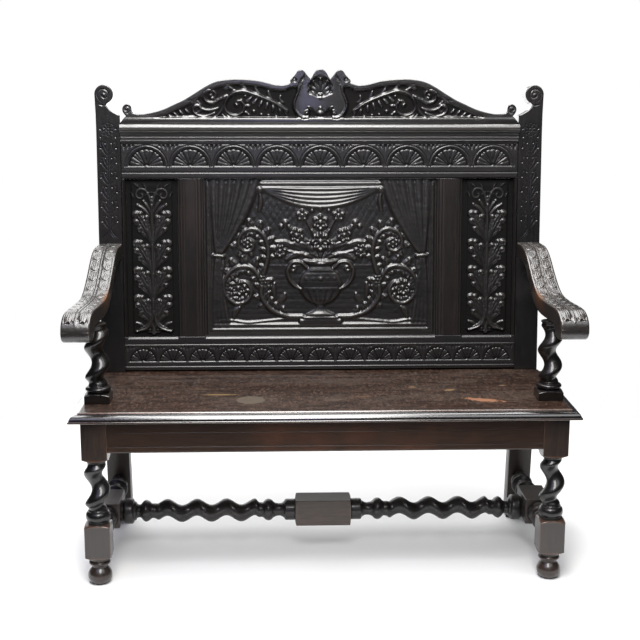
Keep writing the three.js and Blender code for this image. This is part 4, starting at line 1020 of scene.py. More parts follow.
def side_apron(side, s):
    x0, x1 = 603.5, LEG_X + LEG_HALF - 0.5
    y0 = LEG_Y + LEG_HALF + 0.3
    z0, z1 = RAIL_BOTTOM, RAIL_TOP - 0.3
    yr = lambda z: BACK_Y + (SEAT_TOP - z) * math.tan(LEG_RAKE) - 0.3
    prof_x = [(x0, z1), (x0, z0 + 0.8), (x0 + 0.8, z0), (x1 - 1.2, z0), (x1 - 0.3, z0 + 0.4), (x1, z0 + 1.4), (x1, z0 + 5)]
    for gz in (379, 416):
        prof_x += [(x1 - d, z) for d, z in groove(gz)]
    prof_x += [(x1, z1 - 3), (x1, z1)]
    W = [0, .3, .3, .8, 1, .8, 0] + [0.4, 0.8, -0.4, -1, -1, -0.4, 0.8, 0.4] * 2 + [0, -0.6]
    R = []
    for t in (0, 0.02, 0.5, 0.98, 1):
        R.append([(s * x, y0 + (yr(z) - y0) * t, z) for x, z in prof_x])
    loft("side_apron_" + side + "_board", np.array(R), APRON_Y, nodes=("side_apron_" + side,), slot="rail_oak",
         wear=np.repeat(np.array(W)[None, :], 5, 0), sharp=42)


APRON_Y = oak("oak_apron_y", "y", seed=13, warmth=1.0, bump=0.3, **{**DEEP, "base": (0.034, 0.0175, 0.0108), "dark": (0.0205, 0.011, 0.007), "warm": (0.064, 0.0245, 0.0118), "coat": 0.4, "coat_rough": 0.2, "spec": 0.3})
side_apron("left", -1)
side_apron("right", 1)
x = POST_IN - 0.3
board_x("rear_seat_rail_board", [(441, RAIL_TOP - 0.3), (441, RAIL_BOTTOM + 1), (442, RAIL_BOTTOM), (462, RAIL_BOTTOM), (463, RAIL_BOTTOM + 1), (463, RAIL_TOP - 0.3)],
        -x, x, APRON, nodes=("rear_seat_rail",), slot="rail_oak", wear=[0, .6, .6, .6, .6, 0])
for n in ("glue_block_front_left", "glue_block_front_right", "glue_block_rear_left", "glue_block_rear_right"):
    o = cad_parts[n]
    for k in range(len(o.material_slots)):
        o.material_slots[k].material = RAW


# ---------------------------------------------------------------- posts
def arc(cx, cy, r, a0, a1, n):
    a = np.radians(np.linspace(a0, a1, n + 1))
    return np.stack([cx + r * np.cos(a), cy + r * np.sin(a)], -1)


H_BEND = 0.0


def post_field(s):
    """Upper part of a post, in (x, h) with x mirrored for the left: leaf strip, rosette and scrolled head."""
    F = Field(POST_IN - 1, 631, 0, 812.6, 1.15)
    cx = 594.5
    X, Y = F.X, F.Y
    rng = np.random.default_rng(7)
    cut = lambda P, w=0.85, z=0.9: F.stroke(P, (w * 0.5, w, w * 0.5), (z * 0.4, z, z * 0.4), p_round, 0, mode="cut")
    for q in (-1, 1):
        cut([[cx + q * 2.6, 404], [cx + q * 2.0, 664]], 0.8, 0.9)
        # root: inverted V
        cut(bez((cx + q * 2, 412), (cx + q * 6, 394), (cx + q * 23, 384), n=14), 1.2, 1.2)
        cut(bez((cx, 405), (cx + q * 5, 389), (cx + q * 19, 381), n=14), 0.9, 0.9)
        # pairs of leaves with punched eyes
        for k in range(6):
            h = 420 + k * 41.0
            cut(bez((cx + q * 3, h - 8), (cx + q * 18, h), (cx + q * 21, h + 25), n=14), 1.1, 1.2)
            cut(bez((cx + q * 3, h + 2), (cx + q * 10, h + 10), (cx + q * 13.5, h + 27), n=14), 1.0, 1.1)
            cut(bez((cx + q * 13.5, h + 27), (cx + q * 18, h + 30), (cx + q * 21, h + 25), n=8), 0.9, 1.0)
            cut(bez((cx + q * 4, h - 4), (cx + q * 14, h + 6), (cx + q * 17, h + 20), n=10), 0.7, 0.7)
            F.knob(cx + q * 22.0, h + 12.0, 1.9, 1.9, mode="cut")
            F.knob(cx + q * 8.5, h + 25.5, 1.7, 1.6, mode="cut")
    # rosette
    for k in range(8):
        a = PI / 8 + k * PI / 4
        cut([[cx + 5 * math.cos(a), 688 + 5 * math.sin(a)], [cx + 17 * math.cos(a), 688 + 17 * math.sin(a)]], 0.9, 1.0)
        a += PI / 8
        cut(arc(cx + 13.5 * math.cos(a), 688 + 13.5 * math.sin(a), 5.6, math.degrees(a) - 80, math.degrees(a) + 80, 12), 0.8, 0.9)
    F.stroke(arc(cx, 688, 4.6, 0, 360, 20), 0.8, 0.9, p_round, 0, mode="cut")
    for q in (-1, 1):
        F.knob(cx + q * 22, 690, 1.8, 1.9, mode="cut")
        F.knob(cx + q * 21, 667, 1.8, 1.9, mode="cut")
    # scrolled head: a spiral groove and its eye
    F.stroke(spiral(604.5, 784.4, 21.0, 6.4, -82, 1.2, 70, 1.0), (0.5, 1.2, 0.9), (0.4, 1.2, 1.0), p_round, 0, mode="cut")
    F.knob(605, 784, 4.8, 1.0, 0)
    F.stroke(arc(606, 785.8, 31.0, 254, 300, 20), (0.4, 1.4, 0.4), (0.3, 1.5, 0.3), p_round, 0, mode="cut")
    return F


def rear_post(side, s):
    F = post_field(s)
    out = np.concatenate([[(627, 0.0), (627, 300), (627.6, 690)], catmull([(628.2, 730), (629.6, 770), (630.2, 783)], 4), arc(604.5, 785.8, 25.8, 4, 246, 46),
                          catmull([(594.0, 762.2), (598.4, 757.8), (597.8, 753.6), (590.4, 744.7), (583.2, 739.1), (573.5, 733.4), (566.5, 730), (561.4, 728.2)], 6)[1:], [(561, 727.6), (561, 0.0)]])
    place = lambda x, y, d: back(s * x, d, y)
    # lower leg: the board leans back the other way below the seat
    name = "rear_post_" + side
    o = carved(name + "_carved", F, place, POST_THICK, CARVED_Z, outline=out, round_r=1.6, rear_round=1.6, slot="frame_oak")
    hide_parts(name)
    th = POST_THICK / C
    rows = []
    prof2 = [(0.8, -0.1), (65.2, -0.1), (65.75, 0.25), (66, 0.8), (66, th - 0.8), (65.75, th - 0.25), (65.2, th), (0.8, th), (0.25, th - 0.25), (0, th - 0.8), (0, 0.8), (0.25, 0.25)]
    wear = [0.7, 0.7, 1, 0.7, 0.7, 1, 0.7, 0.7, 0.7, 1, 0.7, 0.7]
    for z, inset in ((0.0, 1.2), (0.8, 0.3), (3, 0), (60, 0), (125, 0), (240, 0), (360, 0), (SEAT_TOP - 0.05, 0)):
        yb = BACK_Y + (SEAT_TOP - z) * math.tan(LEG_RAKE)
        row = []
        for px, pv in prof2:
            cxx, cvv = 33.0, th / 2
            k = inset
            xx = POST_IN + px + (k if px < cxx else -k)
            vv = yb + max(pv, 0) + (k if pv < cvv else -k)
            row.append((s * xx, vv, z))
        rows.append(row)
    W = np.repeat(np.array(wear)[None, :], len(rows), 0)
    o2 = loft(name + "_leg", np.array(rows), REAR_LEG, wear=W, slot="frame_oak", sharp=50)
    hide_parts(name)


rear_post("left", -1)
rear_post("right", 1)


# ---------------------------------------------------------------- arms
ARM_LINE = [(450.1, 838.4), (425, 837.5), (400, 836.5), (378, 831.5), (358, 822), (338, 808), (318, 791), (298, 774.5), (276, 757.5), (254, 743), (230, 732),
            (205, 726.5), (170, 724), (130, 723.5), (95, 724), (65, 723.5), (48, 722), (34, 718.5), (21, 712), (10.5, 703), (3.5, 692), (0.4, 680), (1.2, 668),
            (6, 657.5), (14, 650.5), (25, 647.2), (36, 648), (47, 652.5), (56, 660), (64, 669), (74, 676), (84, 679), (148, 679), (180, 679.5), (208, 682),
            (232, 687.5), (255, 697), (277, 710.5), (298, 727), (318, 745), (336, 762), (353, 776.5), (372, 787.5), (395, 793), (420, 794), (446.8, 794.3)]


def arm(side, s):
    Q = resample(catmull(ARM_LINE, 8), 0.8)
    d = np.concatenate([[0], np.cumsum(np.hypot(*np.diff(Q, axis=0).T))])
    L = d[-1]
    F = Field(-36.5, 36.5, 0, L, 1.15)
    edge = [0, 0.12, 0.5, 1.1, 1.9, 2.9]
    F.x = np.concatenate([[-36.5 + k for k in edge], np.linspace(-32.4, 32.4, 58), [36.5 - k for k in edge[::-1]]])
    F.X, F.Y = np.meshgrid(F.x, F.y)
    F.Z = np.zeros_like(F.X)
    py, pz = np.interp(F.y, d, Q[:, 0]), np.interp(F.y, d, Q[:, 1])
    front = int(np.argmin(py))
    s_roll = F.y[front]                          # arc length at the very front of the roll
    end = s_roll - 26                            # the carving stops high on the roll
    g = -0.7
    rng = np.random.default_rng(31)
    cut = lambda P, w, z: F.stroke(P, (w * 0.4, w, w * 0.4), (z * 0.3, z, z * 0.3), p_round, 0, mode="cut")
    for q in (-1, 1):
        cx, hw = q * 18.5, 12.6
        a, b = 6.0, end
        dd = np.minimum(hw - np.abs(F.X - cx), np.minimum(F.Y - a, b - F.Y))
        F.Z = np.where(dd > 0, np.minimum(F.Z, g * smooth(dd / 1.0)), F.Z)
        # leaves that overlap towards the front, each ending in a gouged crescent
        v = 44.0
        while v < b - 66:
            F.stroke([[cx, v - 30], [cx, v - 10]], (6.0, 10.4), (0.1, 0.8), lambda r: np.clip(1 - r ** 4, 0, 1) ** 0.7, g)
            cut(arc(cx, v - 10.5, 10.6, 20, 160, 18), 1.9, 2.5)
            for e in (-1, 0, 1):
                cut(bez((cx + e * 1.2, v - 30), (cx + e * 7.5, v - 22), (cx + e * 6.0, v - 5), n=10), 1.0, 1.5)
            for e in (-1, 1):
                cut(bez((cx + e * 11.6, v - 16), (cx + e * 12.4, v + 1), (cx + e * 4.0, v + 8), n=10), 1.2, 1.7)
            v += 37.0
        # large leaf at the front
        u, v = b - 62, b
        F.stroke([[cx, u], [cx, v - 10]], (5, 10.8, 10.6), (0.8, 2.6), lambda r: np.clip(1 - r ** 4, 0, 1) ** 0.7, g)
        for e in (-1, 0, 1):
            cut(bez((cx, u + 4), (cx + e * 7.5, u + 26), (cx + e * 5.2, v - 8), n=12), 1.3, 1.6)
        cut(arc(cx, v - 11, 11.0, 15, 165, 18), 3.2, 4.0)
        for e in (-1, 1):
            F.knob(cx + e * 5.4, v - 2.2, 3.4, 2.0, g + 0.4)
    # lines that border the strips and the double groove along the middle
    for x, w, z in ((-33.4, 1.0, 1.3), (33.4, 1.0, 1.3), (-4.0, 1.4, 2.3), (4.0, 1.4, 2.3), (0.0, 0.9, 1.2)):
        F.stroke([[x, 4], [x, end - (0 if abs(x) > 10 else 8)]], w, z, p_round, 0, mode="cut")
    F.leaf((0, end - 16), (0, end + 5), 0, 5.0, (0.6, 1.0), 0, tip=2.6)
    F.Z += blur(rng.normal(0, 0.5, F.Z.shape), 2) * 1.3
    K = np.pad(F.Z, 1, mode="edge")
    F.Z = (K[1:-1, 1:-1] * 2 + K[:-2, 1:-1] + K[2:, 1:-1] + K[1:-1, :-2] + K[1:-1, 2:]) / 6
    wear = wear_and_shade_of(F.Z, 1.15)
    r = 4.2
    e = np.clip(np.abs(F.X) - (36.5 - r), 0, r)
    drop = r - np.sqrt(np.maximum(r * r - e * e, 0))
    ty, tz = np.gradient(py), np.gradient(pz)
    k = np.ones(5) / 5
    ty = np.convolve(np.pad(ty, 2, mode="edge"), k, mode="valid")
    tz = np.convolve(np.pad(tz, 2, mode="edge"), k, mode="valid")
    n = np.hypot(ty, tz)
    ny, nz = tz / n, -ty / n
    crown = 1.2 * (1 - (F.X / 36.5) ** 2) - 1.2
    h = F.Z - drop + crown * (F.Y < s_roll)
    Yy = py[:, None] + ny[:, None] * h
    Zz = pz[:, None] + nz[:, None] * h
    # the rear end stays on the post's face
    tail = [0, -1]
    for i in tail:
        Yy[i] = BACK_Y + (Zz[i] - SEAT_TOP) * T - 0.3
    Xx = s * (630 - 34.5 * Yy / 450 + F.X * (36.5 - 3.5 * Yy / 450) / 36.5)
    m, nc = F.X.shape
    V = np.stack([Xx, Yy, Zz], -1).reshape(-1, 3)
    idx = np.arange(m * nc).reshape(m, nc)
    nxt = np.roll(idx, -1, 0)
    faces = [np.stack([idx[:, :-1], idx[:, 1:], nxt[:, 1:], nxt[:, :-1]], -1).reshape(-1, 4)]
    wear = np.maximum(wear, smooth((np.abs(F.X) - 32.5) / 3) * 0.9)
    tone = smooth((34.5 - np.abs(-36.5 - F.X)) / 34.5) ** 6 * np.exp(-((F.Y - 268) / 34.0) ** 2) * 1.0
    W, TN = [wear.reshape(-1)], [tone.reshape(-1)]
    base = m * nc
    parts = [V]
    for col, flip in ((0, False), (nc - 1, True)):
        ring = idx[:, col]
        prev = ring
        for k, inset in enumerate((1.5,)):
            y2, z2 = Yy[:, col] - ny * inset, Zz[:, col] - nz * inset
            x2 = s * (630 - 34.5 * y2 / 450 + F.x[col] * (36.5 - 3.5 * y2 / 450) / 36.5)
            parts.append(np.stack([x2, y2, z2], -1))
            W.append(np.full(m, 0.15))
            TN.append(tone[:, col] * 0.7)
            cur = base + np.arange(m)
            base += m
            q = np.stack([np.roll(prev, -1), prev, cur, np.roll(cur, -1)], -1)
            faces.append(q[:, ::-1] if not flip else q)
            prev = cur
        faces.append(prev if flip else prev[::-1])
    # the side faces wind opposite to the strip that they close
    o = build("arm_" + side + "_carved", np.concatenate(parts), faces, ARM, nodes=("arm_" + side,), slot="frame_oak",
              wear=np.concatenate(W), tone=np.concatenate(TN), sharp=60)
    return o


arm("left", -1)
arm("right", 1)


# ---------------------------------------------------------------- back: rails
def lunettes(F, n, pitch, cy, R, band, deep, top):
    """A run of n half rounds: rings, and a flat fan of lobes parted by cuts; notches fill the spandrels."""
    ri = R - band
    k = ri / 51.8
    lobes = [(5.5, 36.5, 2), (38.5, 60.5, 2), (62.5, 117.5, 3), (119.5, 141.5, 2), (143.5, 174.5, 2)]

    def fan(r, a, Z):
        deg = np.degrees(a)
        z = np.where((r < ri) & (deg > 0) & (deg < 180), -deep * smooth(np.minimum(ri - r, r * np.sin(a)) / 1.1), Z)
        for a0, a1, ns in lobes:
            t = (deg - a0) / (a1 - a0)
            m = (t > 0) & (t < 1)
            sc = np.abs(np.sin(np.clip(t, 0, 1) * PI * ns))
            lim = (44.0 + 3.4 * sc ** 0.5) * k
            dd = np.minimum(np.minimum(np.minimum(deg - a0, a1 - deg) * PI / 180 * r - 0.2, lim - r), r - 9 * k)
            u = smooth((r - 9 * k) / (27 * k))
            q = -deep + (deep - 0.45) * np.clip(dd / 1.1, 0, 1) ** 0.6 - 1.0 * (1 - u) - 1.0 * (1 - sc) ** 3 * smooth((r - 20 * k) / (14 * k))
            z = np.where(m & (dd > 0), np.maximum(z, q), z)
        return np.where(r < 7.2 * k, np.maximum(z, -0.5 - 0.06 * r * r / k), z)
    for i in range(-(n // 2), n // 2 + 1):
        cx = i * pitch
        F.polar(cx, cy, ri + 0.5, fan)
        for q in ((R - 1.0, ri + 1.5) if band > 4 else (R - 0.6,)):
            F.stroke(arc(cx, cy, q, 0, 180, 44), 1.15 if band > 4 else 0.95, 1.8 if band > 4 else 1.4, p_round, 0, mode="cut")
        F.stroke([[cx, cy + 13 * k], [cx, cy + 32 * k]], (0.5 * k, 1.8 * k, 0.4 * k), (0.6, 1.5, 0.3), p_round, 0, mode="cut")
        for q in (-1, 1):
            for ang, r0, r1 in ((22.5, 16, 33), (51, 18, 32)):
                c, sn = math.cos(math.radians(ang)) * q, math.sin(math.radians(ang))
                F.stroke([[cx + c * r0 * k, cy + sn * r0 * k], [cx + c * r1 * k, cy + sn * r1 * k]], (0.4 * k, 1.3 * k, 0.4 * k), (0.4, 1.3, 0.3), p_round, 0, mode="cut")
            for ang in (37.5, 61.5):
                c, sn = math.cos(math.radians(ang)) * q, math.sin(math.radians(ang))
                F.knob(cx + c * 47.5 * k, cy + sn * 47.5 * k, 2.6 * k, 1.0 * k, mode="cut")
    for i in range(-(n // 2) - 1, n // 2 + 1):
        cx = (i + 0.5) * pitch
        for x0, x1, dh, w in ((0, 0, 15, 4.4), (13.5, 9, 11, 3.6), (24.5, 19, 6, 2.4)):
            for e in ((-1, 1) if x0 else (1,)):
                F.stroke([[cx + e * x0 * k, top], [cx + e * x1 * k, top - dh * k]], (w * k, 0.3), (2.4 * k, 0.5), p_flat, 0, mode="cut")


def upper_rail():
    F = Field(-POST_IN + 0.3, POST_IN - 0.3, 551, 662, 1.2)
    F.y = np.concatenate([F.y, [675, 690, 703]])
    F.X, F.Y = np.meshgrid(F.x, F.y)
    F.Z = np.zeros_like(F.X)
    lunettes(F, 9, 122.5, 585.0, 60.2, 8.4, 2.1, 644.2)
    xa = POST_IN - 0.3
    F.stroke([[-xa, 568], [xa, 568]], 1.3, 1.5, p_round, 0, mode="cut")
    F.stroke([[-xa, 647.2], [xa, 647.2]], 1.0, 1.0, p_round, 0, mode="cut")
    F.Z = np.where(F.Y < 555, F.Z - (555 - F.Y) * 0.9, F.Z)
    F.Z = np.where(F.Y > 652.5, 0, F.Z)
    carved("upper_rail_carved", F, lambda x, y, d: back(x, 2 + d, y), 28, RAIL, round_r=0.7, ground=-1.7, nodes=("upper_lunette_rail",), slot="carved_oak")


def lower_rail():
    F = Field(-POST_IN + 0.3, POST_IN - 0.3, 0.5, 101, 1.2)
    F.clear = 90.0
    X, Y = F.X, F.Y
    lunettes(F, 13, 84.9, 29.0, 42.0, 2.4, 2.2, 71.0)
    xa = POST_IN - 0.3
    for y, w, z in ((15.6, 0.8, 1.2), (18.4, 0.6, 0.5), (74.4, 0.8, 1.0), (79.8, 0.8, 0.9)):
        F.stroke([[-xa, y], [xa, y]], w, z, p_round, 0, mode="cut")
    F.stroke([[-xa, 77.0], [xa, 77.0]], 1.5, 1.3, p_round, 0)
    F.stroke([[-xa, 13.6], [xa, 13.6]], 1.4, 1.2, p_round, 0)
    # sloped sills under the panels, stopped at the upright pieces
    ax = np.abs(X)
    bay = ((ax < 331.2 - 1.0)) | ((ax > 407) & (ax < 550))
    F.Z = np.where(bay & (Y > 95.4), F.Z - (Y - 95.4) * 0.66, F.Z)
    F.Z = np.where(Y < 7.5, F.Z - (7.5 - Y) * 6 / 7, F.Z)
    carved("lower_rail_carved", F, lambda x, y, d: back(x, 2 + d, y), 28, RAIL, round_r=0.5, ground=-1.5, nodes=("lower_lunette_rail",), slot="carved_oak")


upper_rail()
lower_rail()


# ---------------------------------------------------------------- back: upright pieces
def along_h(name, outline, h0, h1, mat, s=1, x0=0.0, wear=None, **kw):
    """Outline of (x, v) pairs carried up the back."""
    P = np.asarray(outline, float)
    hs = [h0, h0 + 1.0, h0 + 40, (h0 + h1) / 2, h1 - 40, h1 - 1.0, h1]
    R = np.array([back(s * (x0 + P[:, 0]), P[:, 1], np.full(len(P), h)) for h in hs])
    W = None if wear is None else np.repeat(np.asarray(wear, float)[None, :], len(hs), 0)
    o = loft(name, R, mat, wear=W, sharp=34, **kw)
    second(o, BACK_Z, np.tile([0] * (len(P) - 1) + [1], len(hs) - 1))
    return o


def muntin(side, s):
    half = [(0, 30), (0, 15.6), (0.5, 14.4), (1.7, 12.2), (2.6, 11.2), (3.4, 11.0), (4.9, 11.0), (5.1, 9.4), (6.1, 8.2), (7.6, 7.4), (9.2, 7.0), (11, 6.8), (13.3, 6.6), (13.9, 6.1),
            (14.0, 4.6), (14.9, 3.6), (15.6, 3.2), (16.4, 3.5), (17.0, 2.5), (18.0, 2.0), (20.6, 2.0), (21.2, 3.0), (21.9, 3.0), (22.5, 1.6), (23.4, 1.4), (24.2, 2.0), (28, 2.0), (37.1, 2.0)]
    wh = [0, 0.2, 0.5, 0.2, -0.3, -0.8, -0.9, 0.1, 0.3, 0, 0, -0.2, -0.6, -0.9, -0.6, 0.3, 0.8, 1.0, 0, -0.5, -0.3, 0.9, 1.0, 0, -0.8, 0, 0, 0]
    P = half + [(74.2 - x, v) for x, v in half[::-1][1:]]
    W = wh + wh[::-1][1:]
    along_h("muntin_" + side + "_moulded", P, 101.3, 550.7, MUNTIN, s=s, x0=331.5, wear=W, nodes=("muntin_" + side,), slot="rail_oak")


def edge_stile(side, s):
    P = [(0, 28), (0, 8.6), (0.4, 8.0), (5.2, 5.2), (6.0, 4.7), (7.0, 4.5), (8.6, 4.5), (9.3, 4.9), (9.7, 5.6), (9.7, 28)]
    along_h("edge_stile_" + side + "_moulded", P, 101.3, 550.7, CARVED_Z, s=s, x0=551.0, wear=[0, .3, .4, .4, .7, .5, .3, .2, -.5, 0],
            nodes=("edge_stile_" + side,), slot="carved_oak")


for side, s in (("left", -1), ("right", 1)):
    muntin(side, s)
    edge_stile(side, s)


def cornice():
    v, h = 1.7, 655.3
    knots = [
        [(v, h), (v - 2.6, h), (v - 4.4, h + 0.4), (v - 5, h + 1.5), (v - 4.4, h + 2.7), (v - 3, h + 3.6)],
        [(v - 3, h + 3.6), (v - 3, h + 7.3)],
        [(v - 3, h + 7.3), (v - 5.2, h + 8.6), (v - 6.6, h + 10.2), (v - 6.8, h + 11.2), (v - 6.0, h + 12.8), (v - 4.2, h + 13.8)],
        [(v - 4.2, h + 13.8), (v - 4.4, h + 16.0), (v - 5.8, h + 19.2), (v - 8.6, h + 22.2), (v - 12.4, h + 24.4), (v - 17, h + 25.2)],
        [(v - 17, h + 25.2), (v - 19.4, h + 25.2)],
        [(v - 19.4, h + 25.2), (v - 20.4, h + 25.9), (v - 20.2, h + 27.2), (v - 18.8, h + 28.0), (v - 17.4, h + 28.2)],
        [(v - 17.4, h + 28.2), (v - 20.2, h + 28.3)],
        [(v - 20.2, h + 28.3), (v - 23.4, h + 29.4), (v - 26.2, h + 32.5), (v - 27.2, h + 37), (v - 26.2, h + 41), (v - 23, h + 44.8), (v - 18, h + 47), (v - 12, h + 47.6)],
        [(v - 12, h + 47.6), (v, h + 47.7)]]
    P = []
    for run in knots:
        q = catmull(run, 4) if len(run) > 2 else np.array(run, float)
        P += [tuple(x) for x in (q if not P else q[1:])]
    P = np.array(P)
    W = np.zeros(len(P))
    c = P.copy()
    bulge = np.hypot(P[:, 0] - (v - 14), P[:, 1] - (h + 37.5)) < 12.4
    # Wear values along the profile: the coves below zero are darkened, grime in part and painted shade in part; the
    # round moulding's high value gives a paler worn strip that is in part a painted highlight.
    W[(P[:, 1] < h + 3)] = 0.9
    W[(P[:, 1] > h + 9.5) & (P[:, 1] < h + 13)] = 0.8
    W[(P[:, 1] > h + 3.4) & (P[:, 1] < h + 7.6)] = -0.5
    W[(P[:, 1] > h + 14) & (P[:, 1] < h + 25)] = -0.35
    W[(P[:, 1] > h + 29) & (P[:, 1] < h + 46)] = 0.95
    x = POST_IN - 0.3
    board_x("cornice_swept", P, -x, x, FRAME_X, frame3=lambda X, a, b: back(X, a, b), nodes=("cornice_moulding",), slot="frame_oak", wear=W, sharp=36)


cornice()


# ---------------------------------------------------------------- back: leaf panels
def leaf_panel(side, s):
    cx0 = 478.35
    F = Field(-72.35, 72.35, 101.3, 550.7, 1.05)
    X, Y = F.X, F.Y
    rng = np.random.default_rng(21 + (s > 0))
    d = np.minimum(58 - np.abs(X), Y - 115)
    F.Z = 3.0 * smooth(d / 1.6) * smooth((552 - Y) / 26)
    g = 3.0
    K = 0.3153

    def M(cx, cy, q):
        """Crop pixels of the left half to panel mm, mirrored by q."""
        return (q * (cx - 250) * K, 101 + (1495 - cy) * K)
    # stem, fluted
    F.stroke([M(250, 1290, 1), M(250, 900, 1), M(250, 300, 1)], (7.2, 5.4, 2.8), (4.6, 4.2, 3.8), p_soft, g)
    for q in (-1, 1):
        F.stroke([(q * 2.3, M(0, 1270, 1)[1]), (q * 1.0, M(0, 330, 1)[1])], (1.1, 0.6), (1.8, 1.0), p_round, 0, mode="cut")
    tiers = [370, 630, 875, 1127]
    for n, y0 in enumerate(tiers):
        for q in (-1, 1):
            # outer side lobes first, then the main branch over them
            F.leaf(M(214, y0 + 240, q), M(136, y0 + 150, q), q * -4.8, 9.6, (2.0, 4.2), g, tip=7.0, trim=0.8, prof=p_vein)
            F.stroke(arc(*M(140, y0 + 158, q), 5.4, 90 - q * 100, 90 + q * 70, 14), (2.6, 3.9, 2.8), (3.6, 4.9, 4.4), p_soft, g, trim=0.4)
            F.leaf(M(210, y0 + 206, q), M(106, y0 + 82, q), q * -6.4, 10.0, (2.2, 4.5), g, tip=7.4, trim=0.8, prof=p_vein)
            F.stroke(arc(*M(108, y0 + 92, q), 6.2, 90 - q * 100, 90 + q * 70, 14), (2.8, 4.2, 3.0), (3.8, 5.2, 4.6), p_soft, g, trim=0.4)
            P = catmull([M(236, y0 + 272, q), M(209, y0 + 170, q), M(154, y0 + 56, q), M(118, y0 + 12, q), M(98, y0 + 16, q)], 6)
            F.stroke(P, (3.6, 6.6, 9.4, 8.4), (2.2, 4.2, 4.9, 5.0), p_vein, g, trim=0.85)
            F.stroke(arc(*M(102, y0 + 30, q), 7.6, 90 - q * 95, 90 + q * 70, 16), (3.0, 4.9, 3.2), (4.0, 5.8, 5.0), p_soft, g, trim=0.4)
            F.leaf(M(190, y0 + 96, q), M(145, y0 + 10, q), q * 1.2, 5.8, (2.8, 4.6), g, tip=5.2, trim=0.7)
            F.knob(*M(146, y0 + 8, q), 5.8, 5.4, g, trim=0.4, sx=1.2)
            F.leaf(M(228, y0 + 146, q), M(198, y0 + 44, q), q * 4.2, 7.8, (2.4, 4.4), g, tip=6.2, trim=0.8, prof=p_vein)
            F.stroke(arc(*M(200, y0 + 52, q), 5.2, 90 - q * 95, 90 + q * 70, 14), (2.4, 3.8, 2.6), (3.6, 5.2, 4.6), p_soft, g, trim=0.4)
            F.knob(*M(219, y0 + 112, q), 1.9, 4.6, g, trim=0.3)
    for q in (-1, 1):
        # simple tips over the top tier
        F.leaf(M(228, 402, q), M(122, 302, q), q * -3.4, 3.8, (2.6, 4.8), g, tip=3.4, trim=0.6)
        F.leaf(M(234, 372, q), M(176, 268, q), q * -2.2, 3.4, (2.6, 4.8), g, tip=3.0, trim=0.6)
        # head: two C-scrolls meeting over the stem, in low relief
        F.stroke(catmull([M(244, 330, q), M(236, 262, q), M(214, 196, q), M(176, 160, q), M(132, 168, q), M(112, 204, q), M(126, 238, q), M(158, 240, q), M(172, 216, q), M(158, 200, q)], 6), (2.4, 3.4, 2.6), (2.0, 1.3, 1.2), p_soft, g)
        F.leaf(M(150, 160, q), M(92, 112, q), q * -2.0, 3.8, (0.8, 1.2), g, tip=1.6, trim=0.2)
        F.leaf(M(206, 180, q), M(176, 112, q), q * -2.4, 3.4, (0.8, 1.2), g, tip=1.6, trim=0.2)
        F.leaf(M(92, 250, q), M(66, 196, q), q * -1.5, 3.0, (0.9, 1.6), g, tip=1.8, trim=0.3)
        # lyre at the foot
        F.stroke(catmull([M(242, 1262, q), M(240, 1302, q), M(230, 1352, q), M(188, 1416, q), M(92, 1452, q)], 8), (3.0, 3.4, 2.6), (4.2, 4.6, 5.0), p_soft, g, trim=0.7)
        F.stroke(catmull([M(222, 1320, q), M(192, 1386, q), M(128, 1424, q)], 8), (1.6, 2.0, 1.3), (3.0, 3.4, 3.2), p_round, g, trim=0.6)
        F.knob(*M(94, 1450, q), 3.6, 5.6, g, trim=0.4)
        F.leaf(M(196, 1352, q), M(128, 1296, q), q * -2.2, 3.8, (2.2, 4.4), g, tip=3.2, trim=0.6)
        F.knob(*M(126, 1294, q), 3.4, 5.6, g, trim=0.4)
        F.leaf(M(160, 1400, q), M(92, 1368, q), q * -1.6, 3.2, (2.2, 4.0), g, tip=2.8, trim=0.6)
        F.stroke([M(190, 1458, q), M(240, 1458, q)], (1.0, 1.6, 1.0), 3.2, p_round, g)
        F.knob(*M(215, 1436, q), 2.0, 3.6, g)
    F.stroke([M(250, 1462, 1), M(250, 1404, 1)], (6.5, 0.8), (3.6, 4.2), p_hollow, g, trim=0.4)
    F.stroke([M(250, 290, 1), M(250, 246, 1)], (1.6, 3.6, 1.0), (1.8, 2.4, 1.6), p_soft, g, trim=0.4)
    F.knob(*M(250, 236, 1), 3.2, 2.6, g)
    F.stroke(arc(0, M(0, 262, 1)[1], 23, 38, 142, 20), 1.7, 1.2, p_round, g, trim=0.3)
    F.Z = blur(F.Z, 1)
    place = lambda x, y, dd: back(s * (cx0 + x * s * s), 17 + dd, y)
    carved("leaf_panel_" + side + "_carved", F, place, 9.5, PANEL_Z, round_r=0, ground=3.6, nodes=("leaf_panel_" + side,), slot="carved_oak")


leaf_panel("left", -1)
leaf_panel("right", 1)


# ---------------------------------------------------------------- back: centre panel
def flower(F, x, y, r, n, base, z=6.0, turn=0.0):
    F.knob(x, y, r * 1.02, 1.6, base, power=0.5, trim=0.7)
    for k in range(n):
        a = turn + k * 2 * PI / n
        c, s = math.cos(a), math.sin(a)
        F.leaf((x + c * r * 0.12, y + s * r * 0.12), (x + c * r * 0.8, y + s * r * 0.8), 0, r * 0.34, (z * 0.45, z), base, tip=r * 0.2, prof=p_hollow, trim=0.5, blunt=0.7)
    F.knob(x, y, r * 0.3, z * 1.05, base, trim=0.4)
    F.knob(x, y, r * 0.12, 1.4, mode="cut")


